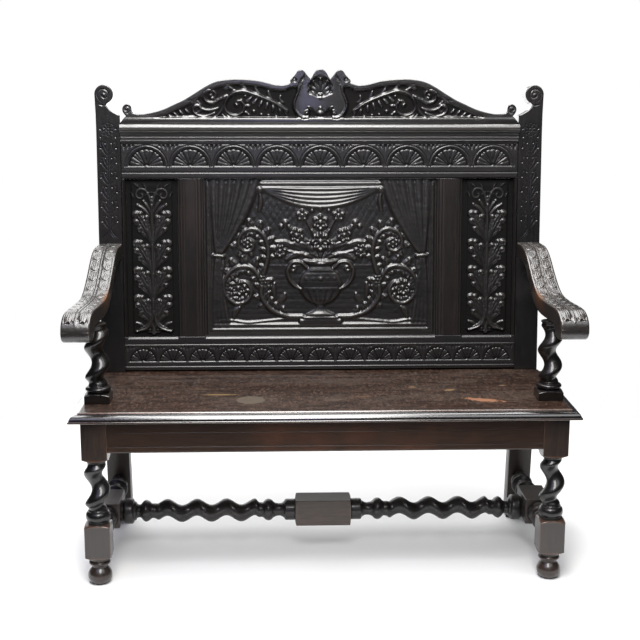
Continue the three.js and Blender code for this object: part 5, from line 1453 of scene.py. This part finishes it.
def acanthus(F, P, side, base, size=16.0, every=15.0, z=(3.2, 6.0), w=5.0, curl=0.5, start=0.12, stop=0.96, both=False):
    """Leaves springing from the path P to one side, or to both, leaning along it."""
    P = resample(P, 1.5)
    d = np.concatenate([[0], np.cumsum(np.hypot(*np.diff(P, axis=0).T))])
    L = d[-1]
    k = 0
    u = L * start
    while u < L * stop:
        i = min(len(P) - 2, int(np.searchsorted(d, u)))
        t = (P[i + 1] - P[i]) / np.hypot(*(P[i + 1] - P[i]))
        for q in ((side, -side) if both else (side,)):
            n = np.array([-t[1], t[0]]) * q
            f = 0.75 + 0.5 * math.sin(PI * (u / L)) if L > 60 else 1.0
            a = P[i] + n * 1.0
            b = P[i] + n * size * 0.78 * f + t * size * 0.62 * f
            F.leaf(a, b, -q * size * 0.13, w * f, z, base, tip=w * 0.55 * f, trim=0.6)
        k += 1
        u += every


def scroll(F, P, w, z, base, ribs=True):
    F.stroke(P, w, z, p_soft, base, trim=0.7)
    if ribs:
        F.stroke(P, tuple(x * 0.22 for x in w) if isinstance(w, tuple) else w * 0.22, 1.3, p_round, 0, mode="cut")


def centre_panel():
    F = Field(-331.2, 331.2, 101.3, 550.7, 1.35)
    X, Y = F.X, F.Y
    d = np.minimum(325 - np.abs(X), Y - 108)
    F.Z = 4.0 * smooth(d / 1.6) * smooth((552 - Y) / 24)
    g = 4.0
    # inner frame line
    ins = np.minimum(311 - np.abs(X), np.minimum(Y - 122, 534 - Y))
    F.Z = np.where(ins > 0, F.Z - (F.Z - 1.4) * smooth(ins / 1.6), F.Z)
    g = 1.4
    for P in ([[-318.2, 112], [-318.2, 540]], [[318.2, 112], [318.2, 540]], [[-318.2, 113.6], [318.2, 113.6]]):
        F.stroke(P, 1.2, 0.9, p_round, 0, mode="cut")
    # cut patterns of the ground: lozenges above, courses of blocks below
    rng = np.random.default_rng(41)
    for k in range(-40, 41):
        for sg in (-1, 1):
            x0 = k * 19.0
            lo, hi = 304.0, 532.0
            F.stroke([[x0 + sg * lo * 0.62, lo], [x0 + sg * hi * 0.62, hi]], 0.9, 0.75, p_round, 0, mode="cut")
    F.Z = np.where((ins < 1.5) & (ins > -6) & (Y > 300), np.maximum(F.Z, 1.4 + 2.6 * smooth((-ins + 1.6) / 1.6) * smooth((551 - Y) / 3)), F.Z)
    F.stroke([[-308, 303], [308, 303]], 1.6, 1.0, p_round, g)
    for k in range(11):
        y = 150 + k * 14.2
        F.stroke([[-308, y], [308, y]], 0.8, 0.6, p_round, 0, mode="cut")
        for j in range(-11, 12):
            x0 = j * 28.0 + (k % 2) * 14.0
            if abs(x0) < 306:
                F.stroke([[x0, y], [x0, y + 14.2]], 0.7, 0.55, p_round, 0, mode="cut")
    # ground strip with low mounds
    F.stroke([[-306, 133], [306, 133]], 5.2, 4.6, p_soft, g, trim=0.4)
    for q in (-1, 1):
        F.stroke(catmull([(q * 306, 142), (q * 262, 147), (q * 210, 140), (q * 150, 145), (q * 96, 151)], 8), (3.0, 3.4, 2.0), 4.0, p_soft, g, trim=0.3)

    # plinth and urn
    def block(x0, x1, y0, y1, z, r=1.5):
        dd = np.minimum(np.minimum(X - x0, x1 - X), np.minimum(Y - y0, y1 - Y))
        F.Z = np.where(dd > 0, np.maximum(F.Z, g + z * smooth(dd / r)), F.Z)
    block(-62, 62, 137, 150, 6.2)
    block(-50, 50, 149, 158, 7.0)
    urn = catmull([(40, 158), (41, 163), (22, 171), (13, 181), (12, 188), (18, 193), (30, 198), (48, 213), (60, 236), (61, 256), (53, 276), (39, 291), (32, 300), (36, 308), (48, 314), (50, 319)], 6)
    hw = np.interp(Y, urn[:, 1], urn[:, 0], left=0, right=0)
    inside = (Y > 158) & (Y < 319) & (np.abs(X) < hw)
    u = np.abs(X) / np.maximum(hw, 1e-3)
    body = g + 2.0 + 7.6 * np.sqrt(np.clip(1 - u * u, 0, 1)) * np.clip(hw / 40, 0.35, 1.0)
    F.Z = np.where(inside, np.maximum(F.Z, body), F.Z)
    # gadroons on the lower bowl, a band and a collar
    gad = np.abs(np.sin(u * PI * 3))
    F.Z = np.where(inside & (Y > 194) & (Y < 236), F.Z - 1.9 * (1 - gad) ** 1.4 * smooth((236 - Y) / 9), F.Z)
    for y, w, z in ((243, 1.4, 1.8), (249, 0.9, 1.2), (284, 1.2, 1.5), (301, 1.3, 1.6), (313, 1.1, 1.2), (189, 1.2, 1.5), (163, 1.0, 1.2)):
        h2 = float(np.interp(y, urn[:, 1], urn[:, 0]))
        F.stroke([[-h2, y], [h2, y]], w, z, p_round, 0, mode="cut")
    for k in range(-2, 3):
        F.knob(k * 19.5, 266, 6.6, 2.0, g + 9.4 - abs(k) * 1.5, sx=1.1)
    # handles
    for q in (-1, 1):
        P = catmull([(q * 38, 296), (q * 56, 312), (q * 80, 312), (q * 94, 290), (q * 88, 262), (q * 72, 244), (q * 58, 238)], 7)
        F.stroke(P, (3.8, 5.4, 3.8), (5.4, 6.6, 5.4), p_soft, g, trim=0.8)
        F.stroke(spiral(q * 77, 296, 11, 3.0, 60 if q > 0 else 120, q * -1.1, 40), (2.8, 1.6), 5.0, p_round, g, trim=0.5)
        F.knob(q * 57, 236, 5.0, 6.6, g, trim=0.5)
    # bouquet
    up = lambda y: 316 + (y - 286) * 0.86
    for P in (((0, 286), (0, 340), (0, 398)), ((-4, 286), (-22, 330), (-58, 366)), ((4, 286), (22, 330), (58, 366)), ((-8, 286), (-50, 312), (-104, 322)), ((8, 286), (50, 312), (104, 322)),
              ((-3, 300), (-16, 380), (-46, 432)), ((3, 300), (16, 380), (46, 432))):
        F.stroke(bez(*[(x, up(y)) for x, y in P], n=20), (2.8, 2.0), (4.2, 3.8), p_round, g, trim=0.5)
    for q in (-1, 1):
        for a, b, bend, w in (((6, 292), (44, 306), 5, 9.0), ((8, 300), (34, 344), -6, 9.4), ((20, 318), (84, 344), 8, 9.4), ((10, 330), (24, 388), 6, 8.6),
                              ((44, 312), (98, 292), 5, 8.6), ((30, 352), (90, 402), -7, 9.2), ((60, 322), (128, 350), 7, 8.4)):
            F.leaf((q * a[0], up(a[1])), (q * b[0], up(b[1])), q * bend, w, (2.4, 5.4), g, tip=w * 0.45, trim=0.8)
    flower(F, 0, up(350), 28, 8, g, 7.6)
    flower(F, 0, up(414), 23, 6, g, 7.0, PI / 6)
    for q in (-1, 1):
        flower(F, q * 68, up(372), 21, 6, g, 6.8, 0.3 * q)
        flower(F, q * 116, up(320), 19, 7, g, 6.6, 0.2)
        flower(F, q * 52, up(438), 17, 5, g, 6.4, PI / 2)
        F.knob(q * 100, up(414), 8.6, 5.0, g, trim=0.5)
        F.knob(q * 112, up(402), 6.4, 4.6, g, trim=0.5)
        F.knob(q * 24, up(454), 6.4, 5.0, g, trim=0.5)
    F.knob(0, up(462), 7.4, 5.4, g, trim=0.5)
    # large scrolls at each side: a lower one rising outward and an upper one returning
    for q in (-1, 1):
        A = catmull([(q * 52, 156), (q * 96, 158), (q * 140, 176), (q * 168, 214), (q * 170, 256), (q * 196, 296), (q * 240, 298), (q * 272, 268), (q * 274, 226), (q * 246, 196), (q * 212, 202), (q * 198, 230), (q * 214, 256), (q * 238, 250)], 8)
        acanthus(F, A[: len(A) * 6 // 10], q, g, size=28, every=25, w=9.4, z=(2.8, 5.4))
        acanthus(F, A[len(A) // 10: len(A) * 9 // 10], -q, g, size=22, every=25, w=8.2, z=(2.8, 5.2))
        scroll(F, A, (6.6, 7.6, 6.0, 4.2), (5.4, 6.6, 6.0, 5.4), g)
        flower(F, q * 236, 240, 24, 8, g, 7.6, 0.2)
        B = catmull([(q * 170, 262), (q * 157, 300), (q * 149, 344), (q * 160, 386), (q * 190, 408), (q * 222, 398), (q * 234, 368), (q * 219, 346), (q * 196, 350), (q * 192, 370), (q * 204, 380)], 8)
        acanthus(F, B[len(B) // 12: len(B) * 8 // 10], q, g, size=22, every=21, w=8.4, z=(2.8, 5.2))
        acanthus(F, B[: len(B) * 6 // 10], -q, g, size=20, every=24, w=7.6, z=(2.8, 5.0))
        scroll(F, B, (6.2, 7.0, 5.4, 4.0), (5.2, 6.2, 5.6, 5.0), g)
        flower(F, q * 208, 368, 15, 6, g, 7.0, 0.5)
        flower(F, q * 164, 262, 13, 6, g, 7.0, 0.1)
        # corners
        for a, b, bend, w in (((120, 200), (102, 222), 4, 8.0), ((128, 206), (132, 252), -4, 7.6), ((250, 150), (232, 184), -4, 8.4)):
            F.leaf((q * a[0], a[1]), (q * b[0], b[1]), q * bend, w, (2.6, 5.0), g, tip=w * 0.45, trim=0.6)
        # curtain drawn back to each side: folds gather at a tie and fall to the ground strip
        for k in range(6):
            F.stroke(bez((q * (304 - 25 * k), 560), (q * (304 - 20 * k), 450), (q * (297 - 2.6 * k), 338), n=18), (13.5, 12.0, 4.0), (3.4 + 0.5 * (k % 2), 5.4, 5.8), p_soft, g, trim=0.25)
        for k in range(4):
            F.stroke(bez((q * (298 - 4 * k), 326), (q * (305 - 7 * k), 250), (q * (304 - 12.5 * k), 141), n=18), (4.4, 8.4, 8.8), (5.4, 4.8, 3.8), p_soft, g, trim=0.25)
        F.stroke([[q * 305, 333], [q * 280, 331]], (5.0, 6.0, 5.0), 7.2, p_soft, g, trim=0.5)
        F.knob(q * 278, 330, 6.6, 7.4, g, trim=0.4)
        F.stroke(bez((q * 278, 324), (q * 276, 306), (q * 279, 292), n=8), (2.0, 4.8, 5.4), (5.0, 5.2, 4.4), p_soft, g, trim=0.5)
    # valance between the curtains, in sagging folds
    t = np.linspace(-1, 1, 49)
    for k in range(5):
        F.stroke(np.stack([t * (168 - 3 * k), 527 - 3 * k - (6 + 9.5 * k) * (1 - t * t)], -1), (1.8, 5.6, 5.8, 5.6, 1.8), (3.6, 4.8, 4.8, 4.8, 3.6), p_soft, g, trim=0.25)
    for q in (-1, 1):
        F.knob(q * 172, 520, 10.0, 6.4, g, trim=0.5)
        F.stroke(bez((q * 172, 508), (q * 166, 486), (q * 174, 462), n=14), (3.2, 6.0, 4.0), (4.6, 5.4, 3.8), p_vein, g, trim=0.5)
    # fillet the tool cuts and leave the wood a little uneven, as hand carving is
    F.Z = blur(F.Z, 1)
    F.Z += np.where(ins > 1.5, blur(rng.normal(0, 1, X.shape), 2) * 0.7, 0)
    carved("centre_panel_carved", F, lambda x, y, dd: back(x, 17 + dd, y), 9.5, PANEL, round_r=0, soften=0, nodes=("centre_panel",), slot="carved_oak")


centre_panel()


# ---------------------------------------------------------------- crest
def crest_outline():
    k = 152.4 / 155.3
    runs = [[(-560.4, 0), (-560.4, 4)],
            [(-560.4, 4), (-551, 15.5), (-544, 22.5)],
            [(-544, 22.5), (-549.5, 29), (-553.5, 36.5), (-553.7, 45), (-549.6, 52.2), (-542.5, 56.2), (-534.6, 55.2), (-529.6, 49.6), (-528.4, 41.5), (-526, 34), (-520, 30.4), (-506, 28.8), (-493, 28.9),
             (-480, 30.6), (-464, 34.2), (-447, 39), (-431, 45), (-415, 52.6), (-397, 61), (-379.5, 69.4), (-350, 87.5), (-334, 98), (-318, 107.5), (-305, 114.5), (-292, 119.8), (-278, 123.4),
             (-263, 125.6), (-246, 127.2), (-230, 127.6), (-200, 126), (-172, 122.8), (-152, 118.2), (-133, 113), (-118, 111), (-104, 110.6), (-92, 113), (-84, 116.2)],
            [(-84, 116.2), (-84.5, 123.5), (-77, 132), (-70, 140), (-64.5, 148.5), (-58.5, 152.6), (-52, 153.2), (-46, 149), (-41, 143.4), (-34, 134), (-27.6, 127.8)],
            [(-27.6, 127.8), (-23, 133.4), (-19.5, 140.5), (-15.8, 146), (-11.5, 151), (-6.8, 154), (0, 155.3), (6.8, 154), (11.5, 151), (15.8, 146), (19.5, 140.5), (23, 133.4), (27.6, 127.8)]]
    left = []
    for r in runs:
        q = catmull(r, 4) if len(r) > 2 else np.array(r, float)
        left += [tuple(x) for x in (q if not left else q[1:])]
    m = [p for p in left if p[0] < -27.7]
    full = left + [(-x, y) for x, y in m[::-1]]
    P = np.array(full)
    return np.stack([P[:, 0], 703.3 + P[:, 1] * k], -1)[::-1]


def crest():
    out = crest_outline()
    F = Field(-561.2, 561.2, 702.6, 856.6, 1.2)
    X, Y = F.X, F.Y
    sd, _, _ = poly_distance(X, Y, out)
    L0 = 720.0
    g = -6.8
    rng = np.random.default_rng(51)
    deep = np.minimum(sd - 14.6, Y - (L0 + 0.6))
    deep = np.where(np.abs(X) > 92, deep, np.minimum(deep, 0))
    deep = np.where(np.abs(X) < 470, deep, -1)
    F.Z = np.where(deep > 0, g * smooth(deep / 2.2), 0.0)
    # base strip: a step and a line
    F.Z = np.where(Y < L0, F.Z + 1.2 * smooth((L0 - Y) / 1.0), F.Z)
    F.Z = np.where(Y < L0 - 11.5, F.Z - 0.8 * smooth((L0 - 11.5 - Y) / 1.0), F.Z)
    for q in (-1, 1):
        def m(*pts, q=q):
            return [(-q * x if q < 0 else x, L0 + y) for x, y in pts] if q > 0 else [(-x, L0 + y) for x, y in pts]
        def c(*pts):
            return catmull(m(*pts), 7)
        def one(x, y):
            return m((x, y))[0]
        def lf(a, b, bend, w, z=(2.6, 5.2), tip=None, trim=0.6):
            F.leaf(one(*a), one(*b), bend * q, w, z, g, tip=w * 0.5 if tip is None else tip, trim=trim)
        # leaves between the stem and the rim, and under the stem
        lf((-104, 30), (-112, 62), 4, 4.4, (2.0, 4.2))
        lf((-130, 42), (-146, 74), 4, 5.2, (2.0, 4.4))
        lf((-160, 58), (-184, 86), 5, 5.6, (2.0, 4.4))
        lf((-196, 73), (-222, 94), 4, 5.4, (2.0, 4.2))
        lf((-118, 57), (-101, 41), -1.5, 2.6, (1.8, 3.4))
        lf((-238, 78), (-262, 92), 3, 4.4, (2.0, 4.2))
        lf((-273, 80), (-258, 87), -1, 3.0, (3.4, 5.4), tip=2.2)
        for a, b, bend, w in (((-176, 58), (-190, 42), 2.0, 4.2), ((-164, 52), (-172, 33), 2.0, 4.4), ((-150, 46), (-153, 27), 2.0, 4.2), ((-136, 40), (-134, 20), 2.0, 4.2), ((-120, 32), (-113, 12), 2.0, 4.0),
                              ((-104, 22), (-94, 6), 1.0, 3.2), ((-190, 64), (-207, 47), 2.0, 4.0)):
            lf(a, b, bend, w, (2.4, 4.8))
            F.knob(*one(*b), w * 0.62, 5.8, g, trim=0.4)
        for x, y, r in ((-187, 19, 3.8), (-166, 10, 3.0), (-146, 8, 2.6), (-124, 5, 2.4), (-201, 9, 2.6)):
            F.knob(*one(x, y), r, 5.2, g, trim=0.3, sx=1.5)
        # big scroll: from the cartouche's foot up over the top and down into its eye
        P = c((-66, 3), (-88, 16), (-118, 37), (-135, 46), (-163, 58), (-193, 68.5), (-208, 73), (-224, 74), (-245, 69), (-260, 56), (-268, 36), (-263, 18), (-250, 9), (-233, 8), (-219, 17), (-214, 32), (-221, 46), (-233, 48), (-240, 38))
        F.stroke(P, (3.0, 4.6, 5.2, 4.8, 4.0, 3.2, 2.6), (5.4, 6.6, 7.4, 7.6, 7.0, 6.4, 6.0), p_soft, g, trim=0.75)
        F.stroke(c((-196, 74.5), (-224, 78.5), (-248, 73.5)), (0.5, 1.5, 0.5), 6.6, p_round, g)
        F.knob(*one(-234, 36), 5.6, 6.8, g, trim=0.5)
        F.knob(*one(-221, 50), 2.8, 5.8, g, trim=0.4)
        F.knob(*one(-211, 61), 2.6, 5.6, g, trim=0.4)
        for a, b, bend, w in (((-219, 20), (-203, 12), 1, 3.6), ((-214, 34), (-198, 34), 1.0, 3.8)):
            lf(a, b, bend, w, (2.4, 4.6))
        # pair of stems that part at the foot of the scroll
        F.stroke(c((-273, 35), (-279, 20), (-289, 8), (-303, 1.5)), (1.8, 2.8, 2.2), (4.6, 5.4, 5.4), p_round, g, trim=0.5)
        F.stroke(c((-271, 33), (-270, 18), (-264, 8), (-252, 1.5)), (1.8, 2.6, 2.0), (4.6, 5.2, 5.0), p_round, g, trim=0.5)
        F.stroke(c((-276, 12), (-271, 5), (-264, 1.5)), (1.2, 1.8), 4.2, p_round, g)
        # leaf run from the big scroll to the second one
        P = c((-262, 62), (-272, 59), (-289, 50), (-299, 44), (-314, 44), (-324, 52), (-325, 65), (-316, 75), (-303, 76), (-294, 68), (-296, 58), (-305, 55), (-311, 62))
        F.stroke(P, (3.6, 4.2, 4.6, 3.4, 2.6), (5.4, 5.8, 5.4, 4.8), p_soft, g, trim=0.7)
        F.knob(*one(-307, 63), 4.6, 5.8, g, trim=0.4)
        F.knob(*one(-270, 59), 4.2, 6.4, g, trim=0.4, sx=1.3)
        F.knob(*one(-288, 50), 3.8, 6.4, g, trim=0.4, sx=1.2)
        # lower scrolls towards the end
        P = c((-286, 29), (-296, 25.5), (-315, 22), (-331, 26), (-341, 36))
        F.stroke(P, (1.8, 3.0, 3.4, 1.8), (5.0, 6.0, 6.0, 4.6), p_soft, g, trim=0.6)
        P = c((-296, 15), (-304, 11.5), (-318, 6.5), (-331, 5), (-346, 9), (-356, 18), (-357, 30), (-347, 36), (-337, 30), (-337, 20), (-345, 17))
        F.stroke(P, (1.8, 2.8, 3.2, 2.8, 2.0), (4.8, 5.6, 5.6, 5.0), p_soft, g, trim=0.6)
        F.knob(*one(-352, 34), 3.6, 6.2, g, trim=0.4)
        lf((-330, 36), (-350, 52), 2.5, 4.0, (2.2, 4.6))
        lf((-340, 42), (-366, 48), 2.0, 3.6, (2.2, 4.4))
        for x, y, dx, dy, w in ((-366, 12, -12, 12, 3.8), (-382, 8, -12, 12, 3.6), (-398, 6, -13, 9, 3.2), (-414, 4, -13, 6, 2.8), (-430, 3, -14, 3.5, 2.2)):
            lf((x, y), (x + dx, y + dy), 1.5, w, (2.2, 4.6))
            F.knob(*one(x + dx, y + dy), w * 0.6, 5.2, g, trim=0.3)
        F.stroke(c((-352, 6), (-380, 4), (-410, 2.6), (-444, 1.6)), (2.0, 1.2), (4.2, 3.2), p_round, g)
        # end volute
        F.stroke(spiral(q * -541, 703.3 + 42.0, 11.4, 3.0, 270 if q > 0 else 270, -1.35 * q * -1, 60, 0.9), (1.5, 1.0), 2.2, p_round, 0, mode="cut")
        F.knob(q * -541, 703.3 + 41.6, 3.4, 0.7, 0)
        F.stroke(m((-528, 17), (-505, 8.5), (-470, 9.5)), (0.8, 1.0, 0.6), 1.1, p_round, 0, mode="cut")
    # cartouche: shield between two straps whose feet curl in, horns above
    ax = np.abs(X)
    yy = Y - L0
    strap = catmull([(56, 92), (62, 74), (71, 52), (74, 38), (69, 20), (57, 6), (46, 1.5), (38, 3)], 8)
    sx = np.interp(yy, strap[::-1, 1][np.argsort(strap[::-1, 1])], strap[::-1, 0][np.argsort(strap[::-1, 1])])
    zone = (ax < 92) & (yy > 0)
    F.Z = np.where(zone & (ax > 66) & (yy < 86) & (ax > sx), g * smooth(np.minimum(ax - sx, np.minimum(yy, 90 - yy)) / 2.4) * smooth((sd - 10) / 4), F.Z)
    dome = -2.6 + 2.4 * np.sqrt(np.clip(1 - (ax / 74) ** 2, 0, 1))
    dome = dome * smooth((118 - yy) / 34)
    F.Z = np.where(zone & (ax < sx) & (yy < 118), dome, F.Z)
    for q in (-1, 1):
        P = [(q * x, L0 + y) for x, y in strap]
        F.stroke(P, (3.4, 4.2, 4.4, 4.4, 3.8), (4.4, 4.8, 5.0, 5.4), p_soft, -3.6, trim=0.7)
        F.stroke([(q * x, L0 + y) for x, y in strap], 0.8, 1.2, p_round, 0, mode="cut")
        F.stroke(spiral(q * 38, L0 + 13.5, 12.5, 3.2, -90, q * -1.15, 50, 0.9), (3.0, 1.8), (5.0, 4.6), p_soft, -3.6, trim=0.7)
        F.knob(q * 38, L0 + 14, 3.6, 5.4, -3.6, trim=0.5)
        # horn: a smooth lobe with a dark round eye
        F.knob(q * 73, L0 + 106, 5.4, 4.4, mode="cut", power=0.4)
        F.knob(q * 73, L0 + 106, 2.6, 2.2, -3.2)
        F.stroke(catmull([(q * 62, L0 + 96), (q * 52, L0 + 104), (q * 45, L0 + 116), (q * 42, L0 + 128)], 6), (0.6, 3.6, 0.6), (0.3, 1.6, 0.3), p_soft, 0, mode="cut")
        F.stroke(catmull([(q * 36, L0 + 31), (q * 29, L0 + 30), (q * 21, L0 + 23), (q * 14, L0 + 21), (q * 7, L0 + 25), (0, L0 + 27.4)], 6), (1.8, 1.4, 1.8), (5.6, 5.0, 5.6), p_round, -3.6, trim=0.6)
        F.knob(q * 15, L0 + 21, 2.5, 6.6, -3.6)
    F.knob(0, L0 + 28, 3.0, 7.0, -3.6, sx=1.6)
    # the apron below the wavy line is sunk, with a boss
    low = (ax < 30) & (yy > 1) & (yy < np.interp(ax, [0, 7, 14, 21, 29], [25, 23, 19, 21, 28]))
    F.Z = np.where(low, np.minimum(F.Z, -6.4), F.Z)
    F.knob(0, L0 + 13.0, 12.6, 6.2, -6.4, power=0.5, sx=1.1)
    for q in (-1, 1):
        F.stroke([(q * 6, L0 + 1.2), (q * 28, L0 + 1.2)], 1.4, 4.8, p_round, -4.6)
    # palmette in the head, on a round sunk ground
    rec = np.hypot(X / 31.0, (yy - 87.5) / 29.0)
    F.Z = np.where(rec < 1, np.minimum(F.Z, -6.6 * smooth((1 - rec) * 29 / 3.0)), F.Z)
    for a, L, wd in ((0, 44, 4.4), (26, 42.5, 4.4), (-26, 42.5, 4.4), (50, 37.5, 4.2), (-50, 37.5, 4.2), (75, 30, 3.8), (-75, 30, 3.8)):
        c, q = math.sin(math.radians(a)), math.cos(math.radians(a))
        F.leaf((c * 7, L0 + 64 + q * 7), (c * L, L0 + 64 + q * L), 0, wd, (2.6, 5.8), -6.6, tip=wd * 0.85, prof=p_hollow, trim=0.4, blunt=0.7)
        F.knob(c * L, L0 + 64 + q * L, wd * 0.95, 6.6, -6.6, trim=0.3)
    F.knob(0, L0 + 64, 5.2, 6.8, -6.6, sx=1.4)
    F.knob(0, L0 + 55.5, 2.6, 4.4, -2.2, sx=2.4)
    F.Z = np.where(deep > -2, blur(F.Z, 1), F.Z)
    carved("crest_rail_carved", F, lambda x, y, dd: back(x, 2 + dd, y), 28, CARVED_X, ground=-5.6, outline=out, round_r=1.8, rear_round=1.2, nodes=("crest_rail",), slot="carved_oak")


crest()


# ---------------------------------------------------------------- stage, light, camera
def stage():
    g = Graph("studio_floor")
    co = g.coords()
    big = g.noise(co, 1.3, 3, 0.5)
    fine = g.noise(co, 60, 3, 0.6)
    col = g.mix(g.span(big, 0.3, 0.7), (0.80, 0.80, 0.80), (0.83, 0.83, 0.83))
    mat = g.finish(col, g.add(0.72, g.mul(fine, 0.1)), fine, coat=0.0, coat_rough=0.3, depth=0.0002, strength=0.3)
    # an oval of pale board, bright all over, whose edge melts into the pale surround
    N = 96
    V = [(0.0, 0.35, 0.0)] + [(1.75 * math.cos(2 * PI * i / N), 0.35 + 1.3 * math.sin(2 * PI * i / N), 0.0) for i in range(N)]
    me = bpy.data.meshes.new("studio_floor")
    me.from_pydata(V, [], [(0, 1 + i, 1 + (i + 1) % N) for i in range(N)])
    for p in me.polygons:
        p.use_smooth = True
    me.materials.append(mat)
    o = bpy.data.objects.new("studio_floor", me)
    bpy.context.scene.collection.objects.link(o)


def lamp(name, loc, target, size, power, colour=(1, 1, 1), size_y=None, spread=180):
    d = bpy.data.lights.new(name, "AREA")
    d.shape = "RECTANGLE"
    d.size, d.size_y = size, size_y or size
    d.energy = power
    d.color = colour
    d.spread = math.radians(spread)
    o = bpy.data.objects.new(name, d)
    o.location = loc
    o.rotation_euler = (Vector(target) - Vector(loc)).to_track_quat("-Z", "Y").to_euler()
    bpy.context.scene.collection.objects.link(o)
    return o


stage()
def panel(name, centre, target, wide, high, radiance, colour=(1, 1, 1)):
    """Softbox of even brightness; its power follows from its size."""
    o = lamp(name, centre, target, wide, radiance * PI * wide * high, colour, size_y=high)
    o.visible_camera = False
    return o


panel("key_front", (-0.18, -2.35, 3.2), (-0.18, -0.2, 1.0), 1.3, 2.0, 16.0, (1.0, 0.985, 0.965))
panel("key_top", (-0.2, -0.65, 3.8), (-0.2, -0.4, 0.8), 1.7, 2.4, 11.0, (1.0, 0.99, 0.97))
panel("key_over", (-0.1, 1.35, 3.5), (-0.1, 0.1, 0.9), 3.0, 1.7, 6.5)
panel("fill_right", (1.5, -1.9, 3.3), (0.2, 0.0, 0.9), 1.6, 2.2, 2.4, (0.95, 0.97, 1.0))
panel("fill_left", (-1.95, -1.9, 3.2), (-0.5, 0.0, 0.9), 1.4, 2.2, 1.5, (0.55, 0.55, 1.0))
panel("back_panel", (-0.7, 2.7, 1.3), (-0.3, 0.0, 1.1), 3.0, 2.2, 2.2)
panel("window", (-0.10, -5.5, 1.95), (-0.05, 0.2, 1.1), 0.62, 1.0, 2.0, (0.54, 0.52, 1.0))

w = bpy.data.worlds.new("studio")
w.use_nodes = True
nt = w.node_tree
bg = nt.nodes["Background"]
ray = nt.nodes.new("ShaderNodeLightPath")
mixer = nt.nodes.new("ShaderNodeMix")
mixer.data_type = "RGBA"
mixer.inputs[6].default_value = (0.05, 0.052, 0.058, 1)
mixer.inputs[7].default_value = (1.0, 1.0, 1.0, 1)
nt.links.new(ray.outputs["Is Camera Ray"], mixer.inputs[0])
nt.links.new(mixer.outputs[2], bg.inputs[0])
bg.inputs[1].default_value = 1.0
bpy.context.scene.world = w

cam = bpy.data.cameras.new("camera")
cam.lens, cam.sensor_width = 68.80, 36.0
cam.clip_start, cam.clip_end = 0.05, 60
co = bpy.data.objects.new("camera", cam)
yaw, pitch, roll = 0.0353, -0.2034, 0.0015
fwd = Vector((math.sin(yaw) * math.cos(pitch), math.cos(yaw) * math.cos(pitch), math.sin(pitch)))
right = Vector((math.cos(yaw), -math.sin(yaw), 0))
up = right.cross(fwd)
r2 = math.cos(roll) * right + math.sin(roll) * up
u2 = -math.sin(roll) * right + math.cos(roll) * up
eye = Vector((-0.1233, (-3000.4 + OY) / 1000, 1.3264))
co.matrix_world = Matrix(((r2.x, u2.x, -fwd.x, eye.x), (r2.y, u2.y, -fwd.y, eye.y), (r2.z, u2.z, -fwd.z, eye.z), (0, 0, 0, 1)))
bpy.context.scene.collection.objects.link(co)
bpy.context.scene.camera = co
bpy.context.scene.view_settings.view_transform = "Standard"
